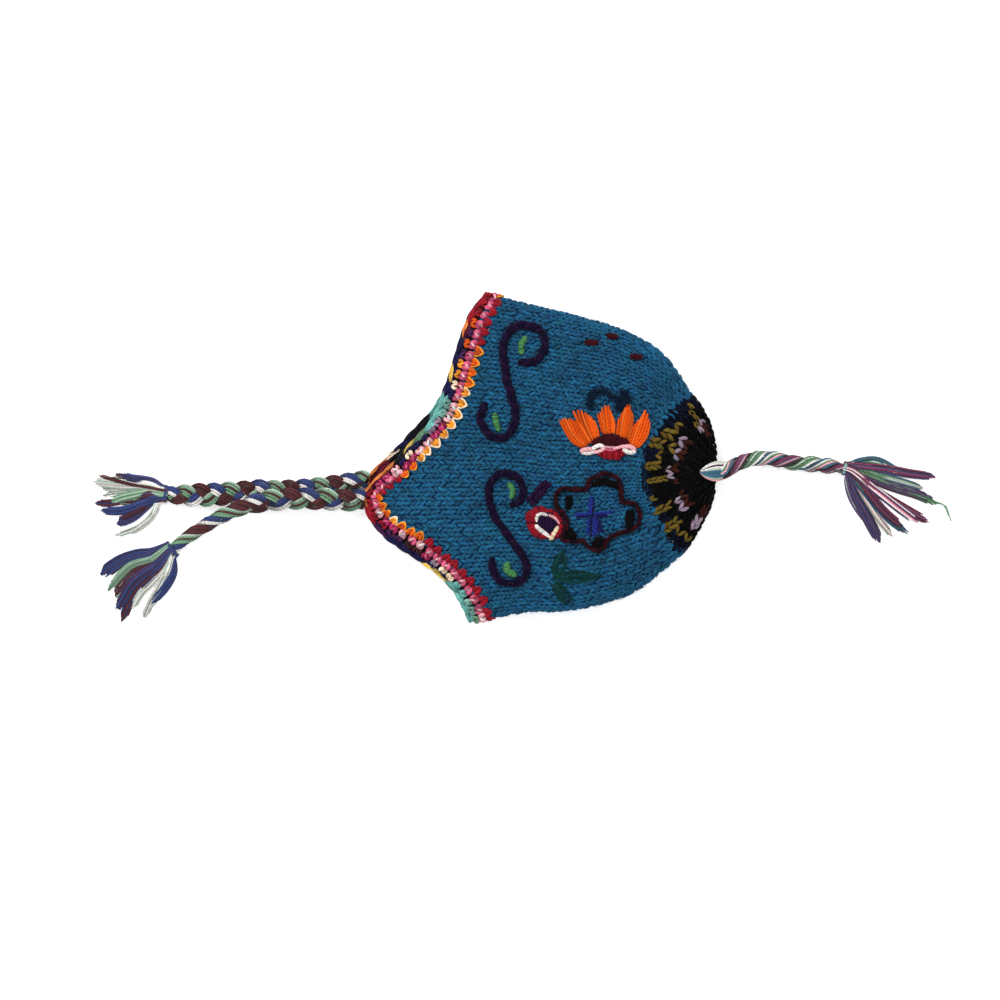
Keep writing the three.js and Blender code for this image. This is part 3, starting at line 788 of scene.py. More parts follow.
# %% The cloth
SECTIONS = np.array([
    (-128, 136, -132, -134, -147, 0, 13), (-96, 136, -100, -134, -116, 0, 16.5),
    (-64, 134, -68, -132, -86, 0, 21), (-33.6, 129.2, -37.6, -128.6, -55.2, 0, 26),
    (3.2, 120.4, -9.6, -124, -19.2, 0, 32), (33.6, 112.4, 27.2, -122, 10.4, 0, 37),
    (64, 103.6, 64, -113, 37.6, 0, 40.5), (89.6, 90, 83.2, -103, 58.4, 0, 42.5),
    (106.4, 74.8, 98.4, -91, 74.4, 0, 43), (119.2, 55.6, 117.6, -74, 84, 0, 43),
    (130.4, 40.4, 128, -58, 98, 0, 41), (138.4, 23.6, 137.6, -39.6, 113.5, 0.6, 36.5),
    (141.6, 6, 140.8, -25, 128, 5, 28.5), (142, -10.5, 142, -10.5, 142, 17, 17),
])
FLAP_END, CROWN_START, APEX = -3.0, 6.0, 10.0
TOP_DOME, BOTTOM_DOME = (3.0, 2.2), (3.6, 2.2)
FOLD_HEIGHT, BOW_SOFTNESS = 0.42, 0.25
FINE_STEP = 0.05
HALF_COUNT, ARC_COUNT = 160, 361


def section_points(section, angles, dome):
    """Points of one bowed oval for angles from the upper fold."""
    up_x, up_y, low_x, low_y, middle, floor, top = section
    cosine = np.cos(angles)
    v = np.sign(cosine) * np.abs(cosine) ** (2 / dome[0])
    height = np.abs(np.sin(angles)) ** (2 / dome[1])
    soft = BOW_SOFTNESS ** 2
    full = math.sqrt(1 + soft)
    bow = (full - np.sqrt(1 - v * v + soft)) / (full - math.sqrt(soft))
    floor = max(floor, 0)
    fold = floor + FOLD_HEIGHT * (top - floor)
    reach = np.where(np.sin(angles) >= 0, top - fold, floor - fold)
    x = middle + (np.where(v > 0, up_x, low_x) - middle) * bow
    y = (up_y + low_y) / 2 + v * (up_y - low_y) / 2
    return np.stack([x, y, fold + reach * height], axis=-1)


def even_half(section, part):
    """Evenly spaced points of one layer: part 0 is the top one, 1 the one on the table."""
    angles = (part + np.linspace(1e-5, 1 - 1e-5, ARC_COUNT)) * np.pi
    fine = section_points(section, angles, BOTTOM_DOME if part else TOP_DOME)
    run = run_of(fine)
    return read_line(fine, run, np.arange(HALF_COUNT) / HALF_COUNT * run[-1]), run[-1]


PLACES = np.arange(FLAP_END, APEX + FINE_STEP / 2, FINE_STEP)
RIM = round(-FLAP_END / FINE_STEP)
section_rows = with_ends(SECTIONS)
ROUNDS, ROUND_LENGTHS = [], []
for place in PLACES - FLAP_END:
    i = min(int(place + 1e-9), len(SECTIONS) - 2)
    section = between(*section_rows[i:i + 4], place - i)
    halves = [even_half(section, part) for part in (0, 1)]
    ROUNDS.append(np.concatenate([points for points, _ in halves]))
    ROUND_LENGTHS.append(sum(length for _, length in halves))
ROUNDS = np.array(ROUNDS)
ROUND_LENGTHS = np.array(ROUND_LENGTHS)
AROUND = np.roll(ROUNDS, -3, axis=1) - np.roll(ROUNDS, 3, axis=1)
UPWARD = np.gradient(ROUNDS, axis=0)
FACING = unit(np.cross(AROUND, UPWARD))
tip_share = np.clip((PLACES - 9.5) / 0.5, 0, 1)[:, None, None]
FACING = unit(FACING * (1 - tip_share) + tip_share * np.array([1.0, 0, 0.2]))


def read_grid(grid, around, up):
    """A value of a grid over the cloth, between its points."""
    row = np.clip((np.asarray(up, float) - FLAP_END) / FINE_STEP, 0, len(PLACES) - 1.001)
    column = np.mod(np.asarray(around, float), 1) * 2 * HALF_COUNT
    i, j = row.astype(int), column.astype(int) % (2 * HALF_COUNT)
    f, g = (row - i)[..., None], (column - np.floor(column))[..., None]
    n = (j + 1) % (2 * HALF_COUNT)
    low = grid[i, j] * (1 - g) + grid[i, n] * g
    high = grid[i + 1, j] * (1 - g) + grid[i + 1, n] * g
    return low * (1 - f) + high * f


def cloth(around, up, lift=0.0):
    """Points over the outer face, raised off it by their lift in millimetres."""
    facing = unit(read_grid(FACING, around, up))
    return read_grid(ROUNDS, around, up) + facing * np.asarray(lift, float)[..., None]


def round_length(up):
    """How long a round of the cloth is, for places up it."""
    return np.interp(up, PLACES, ROUND_LENGTHS)


print("length of the rim:", round(ROUND_LENGTHS[RIM]), "mm")

# %% [markdown]
# ## The edge of the cloth
# The cloth ends along a wavy line that runs down round each ear flap. Knit edge and border edge were
# measured on the top layer; the bottom flap lies a little nearer the upper fold, so it peeks out.

# %% Edges
KNIT_EDGE = np.array([
    (134, -26), (127.6, -29), (104, -38.5), (80, -45.5), (55, -53), (30, -62), (14, -74), (0, -89),
    (-14, -102), (-24, -116.5), (-31.6, -125.6), (-40, -121), (-50, -111), (-63, -88), (-80, -68.5),
    (-97, -51.5), (-113, -40.5), (-127, -36), (-134, -35),
])
BORDER_EDGE = np.array([
    (140, -36), (132.4, -42.4), (122.8, -51.2), (114.8, -56.8), (97, -63.5), (74.8, -70.4),
    (55.6, -76), (42, -81.6), (30, -87.2), (20.4, -95.2), (10, -104.8), (2, -114.4), (-6.8, -120.8),
    (-16.4, -128.8), (-24.4, -135.2), (-32, -139.5), (-40.8, -144.4), (-46, -142.4), (-51.6, -136),
    (-59.6, -128), (-69.2, -118.4), (-78.8, -106), (-91.6, -84), (-101.2, -73.6), (-114, -65.6),
    (-127.6, -59.2), (-140, -50),
])
BOTTOM_SHIFT = {"y": 13, "x": 4, "reach": 129}
EDGE_COUNT, HALVINGS = 640, 30


def edge_x(edge, y, bottom):
    """How far out an edge is at a place across the hat."""
    reach = np.maximum(0, 1 - (y / BOTTOM_SHIFT["reach"]) ** 2) * bottom
    at = y - BOTTOM_SHIFT["y"] * reach
    return np.interp(-at, -edge[:, 0], edge[:, 1]) + BOTTOM_SHIFT["x"] * reach


EDGE_AROUND = np.arange(EDGE_COUNT) / EDGE_COUNT
low, high = np.full(EDGE_COUNT, FLAP_END), np.full(EDGE_COUNT, 2.0)
for _ in range(HALVINGS):
    half = (low + high) / 2
    spot = cloth(EDGE_AROUND, half)
    beyond = spot[:, 0] < edge_x(KNIT_EDGE, spot[:, 1], EDGE_AROUND > 0.5)
    low, high = np.where(beyond, half, low), np.where(beyond, high, half)
EDGE_UP = (low + high) / 2


def edge_up(around):
    """The place up the cloth where it ends, for places round it."""
    return np.interp(np.mod(around, 1), np.append(EDGE_AROUND, 1), np.append(EDGE_UP, EDGE_UP[0]))


flap_ends = [layer.min().round(2) for layer in np.split(EDGE_UP, 2)]
print("the flaps reach down to", *flap_ends)

# %% [markdown]
# ## Lining
# Behind the stitches lies the back of the fabric. It is one closed wall as thick as the real knit,
# a little inside the stitches' faces, so the gaps between stitches look dark and soft, as wool does.
# Its teal and black are dyed darker than the stitches' yarn, as painted shade in the gaps.
# It stands for the imported body and crown.

# %% The wall behind the stitches
WALL_OUT, WALL_IN = -2.3, -3.8
WALL_COLUMNS, BODY_ROWS, CROWN_ROWS = 200, 44, 22
TEAL_ENDS = [(0, 6.3), (0.1, 6.5), (0.15, 6.4), (0.19, 6.0), (0.23, 5.75), (0.29, 5.6), (0.33, 5.95),
             (0.385, 6.15), (0.42, 5.95), (0.5, 5.8), (0.55, 5.95), (0.95, 5.95), (1, 6.3)]


def past_teal(around, up):
    """How far a place lies beyond the end of the teal wool."""
    return up - np.interp(np.mod(around, 1), *zip(*TEAL_ENDS))


wall_around = np.arange(WALL_COLUMNS) / WALL_COLUMNS


def wall(name, rows, node, apex=False):
    """A closed wall over rows of places up the cloth; with apex, its last row closes in a tip."""
    levels = np.concatenate([rows, rows[::-1]])
    black = past_teal(np.broadcast_to(wall_around, levels.shape), levels).ravel() > 0
    outer = [cloth(wall_around, row, WALL_OUT) for row in rows]
    inner = [cloth(wall_around, row, WALL_IN) for row in rows]
    points = np.concatenate(outer + inner[::-1])
    quads = closed_quads(len(levels), WALL_COLUMNS)
    triangles = np.zeros((0, 3), int)
    if apex:
        quads = quads[quads[:, 0] // WALL_COLUMNS != len(rows) - 1]
        top = (len(rows) - 1) * WALL_COLUMNS + np.arange(WALL_COLUMNS)
        tip = np.full(WALL_COLUMNS, len(points))
        first = np.stack([top, np.roll(top, -1), tip], axis=1)
        under = top + WALL_COLUMNS
        second = np.stack([np.roll(under, -1), under, tip + 1], axis=1)
        triangles = np.concatenate([first, second])
        points = np.concatenate([points, [cloth(0, APEX - 0.02, lift) for lift in (WALL_OUT, WALL_IN)]])
        black = np.append(black, [True, True])
    # painted shade: the wall's dyes are a darker teal and black at 0.7, so the gaps read as shadow
    colours = np.where(black[:, None], dye("black", 0.7), dye("deep teal"))
    piece = sew(name, [plain_part(points, quads, triangles, colours)], KNIT_WOOL, floor=0.3)
    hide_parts(node)


edge = edge_up(wall_around)
body_rows = [edge + f * (CROWN_START - edge) for f in np.linspace(0, 1, BODY_ROWS)]
wall("knit_body_wall", body_rows, "knit_body")
crown_places = np.linspace(CROWN_START + 0.03, APEX - 0.12, CROWN_ROWS)
crown_rows = [np.full(WALL_COLUMNS, place) for place in crown_places]
wall("knit_crown_wall", crown_rows, "knit_crown", apex=True)

# %% [markdown]
# ## Stitches
# On the outside of plain knitting every stitch shows as a V of two plump legs. The hat has 76
# columns of stitches round the rim, 38 on each layer, and the crown closes by knitting two columns
# together here and there. Rows are laid out first, 4.1 mm apart in the body and 5 mm in the crown;
# then each row takes the columns of the row below, joins a few neighbours where the round has grown
# too short for them, and lets the columns even out.

# %% Rows and columns
ROW_HEIGHT = 4.1
COLUMN_WIDTH = 7.0
CROWN_ROW_HEIGHT = 5.0
CROWN_COLUMN_WIDTH = 7.3
RIM_COLUMNS = 76
FEWEST_COLUMNS = 8
JOIN_AT_ONCE = 4
JOIN_ABOVE, EVENING = 0.5, 0.2

step_lengths = np.linalg.norm(np.diff(ROUNDS, axis=0), axis=2).mean(axis=1)
climbed = np.concatenate([[0], np.cumsum(step_lengths)])


def neighbours(columns):
    """The places to the left and to the right of each column round the hat."""
    left, right = np.roll(columns, 1), np.roll(columns, -1)
    left[0] -= 1
    right[-1] += 1
    return left, right


def lay_rows(heights, columns, width):
    """Rows of stitches as (place up the hat, columns around it), each grown from the row below."""
    rows = []
    for up in np.interp(heights, climbed, PLACES):
        surplus = len(columns) - max(FEWEST_COLUMNS, round(round_length(up) / width))
        if up > JOIN_ABOVE and surplus >= JOIN_AT_ONCE:
            joined = (np.arange(surplus) + CHANCE.uniform(0, 1)) * len(columns) / surplus
            joined = joined.astype(int) % (len(columns) - 1)
            columns[joined] = (columns[joined] + columns[joined + 1]) / 2
            columns = np.delete(columns, joined + 1)
        if up > JOIN_ABOVE:
            left, right = neighbours(columns)
            columns = columns * (1 - 2 * EVENING) + (left + right) * EVENING
        rows.append((up, columns.copy()))
    return rows


FIRST_CROWN_PLACE, LAST_BODY_PLACE = 5.5, 6.6
first_crown_climb, last_body_climb = np.interp([FIRST_CROWN_PLACE, LAST_BODY_PLACE], PLACES, climbed)
rim_columns = (np.arange(RIM_COLUMNS) + 0.5) / RIM_COLUMNS
body_stitches = lay_rows(np.arange(0, last_body_climb, ROW_HEIGHT), rim_columns, COLUMN_WIDTH)
crown_columns = [places for up, places in body_stitches if up < FIRST_CROWN_PLACE][-1]
crown_heights = np.arange(first_crown_climb, climbed[-1] - 2, CROWN_ROW_HEIGHT)
crown_stitches = lay_rows(crown_heights, crown_columns.copy(), CROWN_COLUMN_WIDTH)
print("rows:", len(body_stitches), "and", len(crown_stitches))
print("columns at the top:", len(crown_stitches[-1][1]))

# %% [markdown]
# ### Legs
# A leg is a short strand, fat in its middle, that leans outwards as it rises and dives under the
# cloth at both ends. One leg could be modelled and copied as an instance, but each real stitch is a
# little longer, fuller or lighter than the next, so every leg is worked out for itself and all are
# spun at once. Stitches are narrower where a round has grown short, and so are their legs.

# %% Legs
LEG_SIDE, LEG_MIDDLE = np.array([0.08, 0.12, 0.2, 0.31, 0.38, 0.41]), 0.245
LEG_UP = np.array([-0.56, -0.3, 0.04, 0.38, 0.7, 0.94])
LEG_DEPTH = np.array([-2.0, -1.2, -0.65, -0.65, -1.2, -2.1])
LEG_RADIUS = np.array([0.6, 1.08, 1.36, 1.38, 1.1, 0.6])


def legs_of(rows, keep, paint, sides, rings=slice(None)):
    """Strands for the legs of all stitches that keep allows; paint gives each stitch its dye."""
    centres, ups, widths, heights = [], [], [], []
    following = [up for up, _ in rows[1:]] + [2 * rows[-1][0] - rows[-2][0]]
    for (up, places), after in zip(rows, following):
        left, right = neighbours(places)
        centres.append(places)
        ups.append(np.full(len(places), up))
        widths.append((right - left) / 2)
        heights.append(np.full(len(places), after - up))
    centre, up, width, height = map(np.concatenate, (centres, ups, widths, heights))
    kept = keep(centre, up)
    centre, up, width, height = centre[kept], up[kept], width[kept], height[kept]
    plump = np.clip(width * round_length(up) / COLUMN_WIDTH, 0.75, 1.3)
    colour = paint(centre, up)
    parts = []
    for hand in (-1, 1):
        count = len(centre)
        size = CHANCE.normal(1, 0.09, (count, 1)).clip(0.8, 1.25)
        slip = CHANCE.normal(0, 0.13, (count, 1))
        lean = CHANCE.normal(1, 0.25, (count, 1))
        wander = CHANCE.normal(0, 0.035, (count, 1))
        side = hand * (LEG_MIDDLE + (LEG_SIDE[rings] - LEG_MIDDLE) * lean + wander)
        around = centre[:, None] + side * width[:, None]
        place = up[:, None] + (LEG_UP[rings] * size + slip) * height[:, None]
        place = np.minimum(place, APEX - 0.03)
        lift = LEG_DEPTH[rings] + CHANCE.normal(0, 0.25, (count, 1))
        paths = cloth(around, place, lift)
        facing = unit(read_grid(FACING, around, place))
        radius = LEG_RADIUS[rings] * size * plump[:, None]
        paths[..., 2] = np.maximum(paths[..., 2], radius * 0.8)
        shade = CHANCE.normal(1, 0.17, (count, 1)) + CHANCE.normal(0, 0.05, (count, 3))
        parts.append(spin(paths, radius, colour * shade.clip(0.5, 1.6), facing, sides=sides, flat=0.9))
    return parts


print("rings in a leg:", len(LEG_SIDE))

# %% [markdown]
# ### The body's rows
# The teal body is one yarn all through, so its colour only drifts a little from place to place. The
# top layer is sewn in two pieces, to keep each one light, and with six-sided legs of six rings; the
# hidden layer makes do with five sides and four rings, as it is never seen so near.

# %% Body stitches
def top_layer(around):
    """Which places round the hat are on the layer that faces up."""
    return np.mod(around, 1) < 0.5


def teal_wool(around, up):
    """Teal that drifts a little lighter and darker from place to place."""
    spot = cloth(around, up)
    drift = np.sin(spot[:, 0] / 31 + spot[:, 1] / 23) * 0.5 + np.sin(spot[:, 0] / 13 - spot[:, 1] / 17) * 0.5
    return np.array(dye("teal")) * (1 + 0.1 * drift[:, None])


TUCKED_UNDER = 0.3


def in_body(around, up):
    """Stitches of the body; a row of them runs on a little way under the border's teeth."""
    return (up > edge_up(around) - TUCKED_UNDER) & (past_teal(around, up) < 0)


def sew_rows(name, where, sides, rings=slice(None)):
    """One piece of the body's stitches."""
    legs = legs_of(body_stitches, lambda a, u: in_body(a, u) & where(a, u), teal_wool, sides, rings)
    sew(name, legs, KNIT_WOOL)


MIDDLE_ROW = 2.4
sew_rows("front_rows_by_the_rim", lambda a, u: top_layer(a) & (u < MIDDLE_ROW), sides=6)
sew_rows("front_rows_by_the_crown", lambda a, u: top_layer(a) & (u >= MIDDLE_ROW), sides=6)
sew_rows("back_rows", lambda a, u: ~top_layer(a), sides=5, rings=[0, 2, 3, 5])

# %% [markdown]
# ## Loose fibres
# Wool is never smooth: single fibres stand off the yarn and lie over the stitches. A few thousand
# thin ones over the top layer soften the outline and the gaps between the legs. They are dyed a paler
# teal than the yarn, as painted highlight.

# %% Loose fibres
FIBRE_COUNT = 2300
FIBRE_RADIUS = 0.12
UP_STEP = climbed[-1] / (APEX - FLAP_END)


def loose_fibres(around, up, name):
    """Thin arched fibres over the cloth, one for each place."""
    count = len(around)
    heading = CHANCE.uniform(0, 2 * np.pi, (count, 1))
    length = CHANCE.uniform(3, 8, (count, 1))
    share = np.linspace(0, 1, 4)
    bend = CHANCE.normal(0, 0.5, (count, 1)) * share
    along = np.cos(heading + bend) * share * length / round_length(up)[:, None]
    climb = np.sin(heading + bend) * share * length / UP_STEP
    lift = 0.3 + CHANCE.uniform(0.3, 1.2, (count, 1)) * np.sin(share * np.pi)
    place = np.minimum(up[:, None] + climb, APEX - 0.05)
    along = around[:, None] + along
    paths = cloth(along, place, lift)
    facing = unit(read_grid(FACING, along, place))
    return spin(paths, FIBRE_RADIUS, dyes([name] * count, 0.3), facing, sides=3)


fibre_around = CHANCE.uniform(0.0, 0.5, FIBRE_COUNT)
fibre_edge = edge_up(fibre_around)
fibre_up = fibre_edge + CHANCE.uniform(0, 1, FIBRE_COUNT) * (CROWN_START - fibre_edge)
# painted highlight: the stray fibres take a paler teal than the yarn
sew("loose_fibres", [loose_fibres(fibre_around, fibre_up, "pale teal")], KNIT_WOOL)

# %% [markdown]
# ## The black crown
# The crown is knitted in black, navy where it meets the teal, with V stitches in lilac, brown and
# moss green over it and a little way into the teal. Such colourwork follows a chart, and so does
# this: on the top layer the coloured stitches are the ones nearest to listed spots, and
# the hidden layer repeats a short chart that counts its repeats round the crown and places up it.

# %% The chart
REPEATS = 10
CHART_PHASE = 0.84
BLOCK_REACH = 0.6
FAR_OFF = 1000.0
CHART = [
    {"dye": "moss", "from": 6.1, "to": 7.1, "offset": -0.04, "stitches": 1},
    {"dye": "moss", "from": 6.1, "to": 6.5, "offset": 0.42, "stitches": 1},
    {"dye": "lilac", "from": 7.1, "to": 7.5, "offset": 0.0, "stitches": 2},
    {"dye": "brown", "from": 7.5, "to": 7.8, "offset": -0.05, "stitches": 2},
]
FRONT_CHART = {
    "moss": [(689, 405), (692, 411), (694, 417), (694, 423), (676, 421), (663, 436), (668, 440), (673, 443),
             (648, 446), (653, 447), (658, 449), (656, 456), (655, 462), (650, 465), (645, 466), (646, 481),
             (651, 481), (657, 481), (662, 480), (651, 498), (658, 513), (663, 511), (669, 509), (663, 532),
             (666, 526), (671, 522), (676, 526), (680, 532), (682, 539)],
    "lilac": [(699, 422), (703, 429), (672, 452), (677, 446), (666, 470), (668, 479), (675, 505), (680, 511),
              (694, 528), (697, 521)],
    "brown": [(704, 424), (707, 433), (680, 453), (686, 446), (673, 469), (674, 480), (679, 498), (685, 504),
              (700, 518), (704, 512)],
}
NAVY_BAND = 0.6


def crown_wool(around, up):
    """Black wool, navy at its edge, with the chart's stitches over it."""
    around = np.mod(np.asarray(around), 1)
    colour = np.tile(dye("black"), (len(around), 1))
    colour[past_teal(around, up) < NAVY_BAND] = dye("midnight")
    for block in CHART:
        for repeat in range(REPEATS):
            at = np.mod((repeat + CHART_PHASE + block["offset"]) / REPEATS, 1)
            if top_layer(at):
                continue
            for row in np.unique(up):
                if not block["from"] <= row < block["to"]:
                    continue
                away = np.abs(np.mod(around - at + 0.5, 1) - 0.5) + FAR_OFF * (up != row)
                nearest = np.argsort(away)[:block["stitches"]]
                colour[nearest[away[nearest] < BLOCK_REACH / REPEATS]] = dye(block["dye"])
    spots = cloth(around, up)[:, :2] + FAR_OFF * ~top_layer(around)[:, None]
    for name, places in FRONT_CHART.items():
        for place in on_table(places):
            colour[np.linalg.norm(spots - place, axis=1).argmin()] = dye(name)
    return colour


print("coloured stitches on the top layer:", sum(len(places) for places in FRONT_CHART.values()))

# %% [markdown]
# The crown's first row takes over the columns of a body row below it, as when a knitter goes on with
# another yarn. Its legs are spun like the body's, and their dye comes from the chart.

# %% Crown
crown_legs = legs_of(crown_stitches, lambda a, u: past_teal(a, u) > -0.1, crown_wool, sides=6)
sew("crown_rows", crown_legs, BLACK_WOOL)

# %% [markdown]
# ## Crocheted border
# Four rounds of crochet finish the edge in a self-striping yarn. The first round bites into the
# fabric in small pointed teeth, the second and third are rows of round bobbles, and the last is a
# chain that lies along the outside. All are strands placed on one frame that runs round the edge:
# how far along, how far out, and how high.

# %% The border's frame
EVEN_SPREAD = 8
NARROWEST, WIDEST, OVERHANG = 12.0, 25.0, 0.6
BORDER_SINK = 2.5

border_spot = cloth(EDGE_AROUND, EDGE_UP)
border_facing = unit(read_grid(FACING, EDGE_AROUND, EDGE_UP))
border_along = unit(np.roll(border_spot, -1, axis=0) - np.roll(border_spot, 1, axis=0))


def smoothed(values):
    """Values round the closed border, averaged with their neighbours."""
    offsets = np.arange(-3 * EVEN_SPREAD, 3 * EVEN_SPREAD + 1)
    weights = np.exp(-0.5 * (offsets / EVEN_SPREAD) ** 2)
    return sum(np.roll(values, k, axis=0) * w for k, w in zip(offsets, weights)) / weights.sum()


border_out = unit(smoothed(unit(np.cross(border_along, border_facing))))
border_width = np.full(EDGE_COUNT, NARROWEST)
growing = np.ones(EDGE_COUNT, bool)
for width in np.arange(NARROWEST, WIDEST + 0.1, 0.25):
    tip = border_spot + border_out * (width + OVERHANG)
    growing &= tip[:, 0] >= edge_x(BORDER_EDGE, tip[:, 1], EDGE_AROUND > 0.5)
    border_width[growing] = width
border_width = smoothed(border_width)
middle_line = border_spot + border_out * border_width[:, None] / 2
middle_steps = np.linalg.norm(np.roll(middle_line, -1, axis=0) - middle_line, axis=1)
BORDER_RUN = np.concatenate([[0], np.cumsum(middle_steps)])
BORDER_LENGTH = BORDER_RUN[-1]


def border(along, out, lift):
    """Points of the border: along and lift in millimetres, out in shares of its width."""
    at = np.mod(np.asarray(along, float), BORDER_LENGTH)

    def read(values):
        return read_line(np.concatenate([values, values[:1]]), BORDER_RUN, at)

    width = read(border_width[:, None])
    outward = unit(read(border_out))
    facing = unit(read(border_facing))
    out = np.asarray(out, float)[..., None]
    lift = np.asarray(lift, float)[..., None]
    return read(border_spot) + outward * out * width + facing * (lift - BORDER_SINK), facing


print("border:", round(BORDER_LENGTH), "mm round,", border_width.min().round(1), "to",
      border_width.max().round(1), "wide")

# %% [markdown]
# The yarn changes colour as it goes. Each round's stripes on the top layer are listed by how far
# across the hat they start, from the upper fold down; the hidden layer repeats a short sequence.

# %% Stripes
TEETH = [(150, "orange"), (124, "rim red"), (84, "orange"), (50, "amber"), (-8, "orange"), (-16, "red"),
         (-32, "orange"), (-44, "amber"), (-52, "orange"), (-64, "rim red")]
BOBBLES = [(150, "pink"), (46, "pale pink"), (30, "magenta"), (20, "pale pink"), (4, "magenta"),
           (-4, "pale pink"), (-12, "pink"), (-34, "pale pink"), (-42, "magenta"), (-54, "pale pink"),
           (-60, "pink"), (-66, "pale pink"), (-72, "pink"), (-122, "pale pink")]
SMALL_BOBBLES = [(150, "rim red"), (117, "orange"), (110, "purple"), (102, "magenta"), (96, "orange"),
                 (88, "purple"), (82, "amber"), (70, "cream"), (60, "amber"), (54, "navy"),
                 (46, "sea grey"), (32, "lilac"), (20, "navy"), (10, "cream"), (4, "navy"),
                 (-4, "pale pink"), (-12, "magenta"), (-24, "rim red"), (-54, "purple"), (-66, "brown"),
                 (-72, "magenta"), (-80, "lilac"), (-84, "cream"), (-93, "sea grey"),
                 (-98, "turquoise"), (-108, "sea grey"), (-122, "sage")]
CHAIN = [(150, "rim red"), (112, "orange"), (94, "navy"), (78, "yellow"), (62, "navy"), (54, "turquoise"),
         (24, "navy"), (18, "sage"), (14, "yellow"), (4, "ink"), (-4, "orange"), (-32, "rim red"),
         (-56, "purple"), (-66, "navy"), (-75, "orange"), (-78, "navy"), (-86, "yellow"), (-96, "navy"),
         (-101, "turquoise")]
INNER_CHAIN = [(150, "maroon"), (46, "turquoise"), (36, "ink"), (14, "yellow"), (10, "navy"), (2, "cream"),
               (-2, "orange")]
HIDDEN = {"teeth": ["rim red", "orange", "rim red"], "bobbles": ["pink", "magenta", "pink"],
          "small": ["navy", "orange", "navy", "yellow"], "chain": ["ink", "navy", "yellow", "ink", "orange"]}
HIDDEN_STRIPE = 34.0
TOP_BORDER = BORDER_RUN[EDGE_COUNT // 2]


def name_across(table, y):
    """The dye that a table of stripes gives for a place across the hat."""
    return [name for start, name in table if y <= start][-1]


def names_at(table, hidden, along, out):
    """Dyes of border stitches: by the table on the top layer, in turn on the hidden one."""
    spots, _ = border(along, out, 0.0)
    names = []
    for at, spot in zip(along, spots):
        unseen = hidden[int(at / HIDDEN_STRIPE) % len(hidden)]
        names.append(name_across(table, spot[1]) if at <= TOP_BORDER else unseen)
    return names


def swapped(names, swaps, other=None):
    """The names with some of them swapped, and all the others too where there is one for them."""
    return [swaps.get(name, other or name) for name in names]


print("stripes on the top layer:", len(TEETH), len(BOBBLES), len(SMALL_BOBBLES), len(CHAIN))

# %% [markdown]
# ### Teeth
# Where the border is hooked into the knitting, every stitch shows a pale pointed loop and two plump
# legs inside it. A crochet stitch is one yarn that turns back through itself; only its outside shows,
# so only that is made: a bent strand for the loop and a puffed one for each leg. Numpy bends the
# strands of a whole round at once, with one row of places for each stitch.

# %% Teeth
STITCH_PITCH = 8.6
PALE = {"orange": "amber", "amber": "cream", "rim red": "rim red", "red": "rim red"}
border_parts = []


def uneven(amount, count):
    """A small random shift for each of some stitches."""
    return CHANCE.normal(0, amount, (count, 1))


def work(along, out, lift, radius, names, spread=0.2, sides=7, shade=None):
    """Add strands to the border; each row of places is one strand."""
    paths, facing = border(along, out, lift)
    strands = spin(paths, radius, dyes(names, spread), facing, sides=sides, flat=0.9)
    border_parts.append(strands if shade is None else shaded(strands, shade, sides))


station_count = round(BORDER_LENGTH / STITCH_PITCH)
stations = np.arange(station_count) * BORDER_LENGTH / station_count
here = stations[:, None]
tooth_names = names_at(TEETH, HIDDEN["teeth"], stations, 0.05)
loop = np.linspace(-1, 1, 13)
size = CHANCE.normal(1, 0.08, (station_count, 1))
shift = uneven(0.5, station_count)
loop_along = here + shift + 3.7 * size * (0.55 * np.sin(loop * np.pi / 2) + 0.45 * loop)
loop_out = 0.30 - 0.29 * size * (1 - np.abs(loop) ** 1.3)
loop_lift = 3.3 - 0.9 * loop ** 2 + uneven(0.2, station_count)
work(loop_along, loop_out, loop_lift, 0.95, swapped(tooth_names, PALE), 0.18)
share = np.linspace(0, 1, 7)
puff = np.sin(share * np.pi)
for hand in (-1, 1):
    leg_along = here + shift + hand * (0.65 + 1.3 * share)
    leg_out = 0.06 + 0.30 * share + 0.02 * shift
    leg_lift = 2.9 + 0.9 * puff - 0.5 * share + uneven(0.2, station_count)
    work(leg_along, leg_out, leg_lift, 0.8 + 0.9 * puff, tooth_names)
print("stitches in a round:", station_count)

# %% [markdown]
# ### Bobbles
# The second and third rounds are small clusters that bulge between the teeth, the second the larger.
# Each is two fat strands side by side, darker at both ends where they go into the work, as painted
# shade, and one thin strand that crosses over them, since a cluster is closed by a yarn drawn over
# its top; that strand is dyed lighter as a painted highlight.

# %% Bobbles
HALF_STITCH = STITCH_PITCH / 2
GLINT = {"pink": "pale pink", "pale pink": "white", "magenta": "pink"}
for table, hidden, start, end, radius, slant in (
        (BOBBLES, "bobbles", 0.28, 0.60, 2.0, 0.9), (SMALL_BOBBLES, "small", 0.55, 0.80, 1.55, -0.7)):
    names = names_at(table, HIDDEN[hidden], stations, (start + end) / 2)
    for hand in (-1, 1):
        sway = uneven(0.5, station_count)
        puff_along = here + HALF_STITCH + sway + hand * (0.6 + 1.6 * puff) + slant * (share - 0.5) * 2.6
        puff_out = start + (end - start) * share + uneven(0.015, station_count)
        puff_lift = 1.5 + 2.0 * puff + uneven(0.3, station_count)
        # painted shade: swell also darkens both ends of each strand
        swell = 0.6 + 0.4 * puff
        work(puff_along, puff_out, puff_lift, radius * swell, names, 0.25, shade=swell)
    over_along = here + HALF_STITCH + slant * (1 - 2 * share) * 2.2
    over_out = start + (end - start) * (0.12 + 0.7 * share) + uneven(0.02, station_count)
    over_lift = 2.6 + 2.2 * puff + uneven(0.2, station_count)
    # painted highlight: the crossing strand takes the lighter dye that GLINT gives
    work(over_along, over_out, over_lift, 0.55 + 0.5 * puff, swapped(names, GLINT))
print("bobbles:", 2 * station_count)
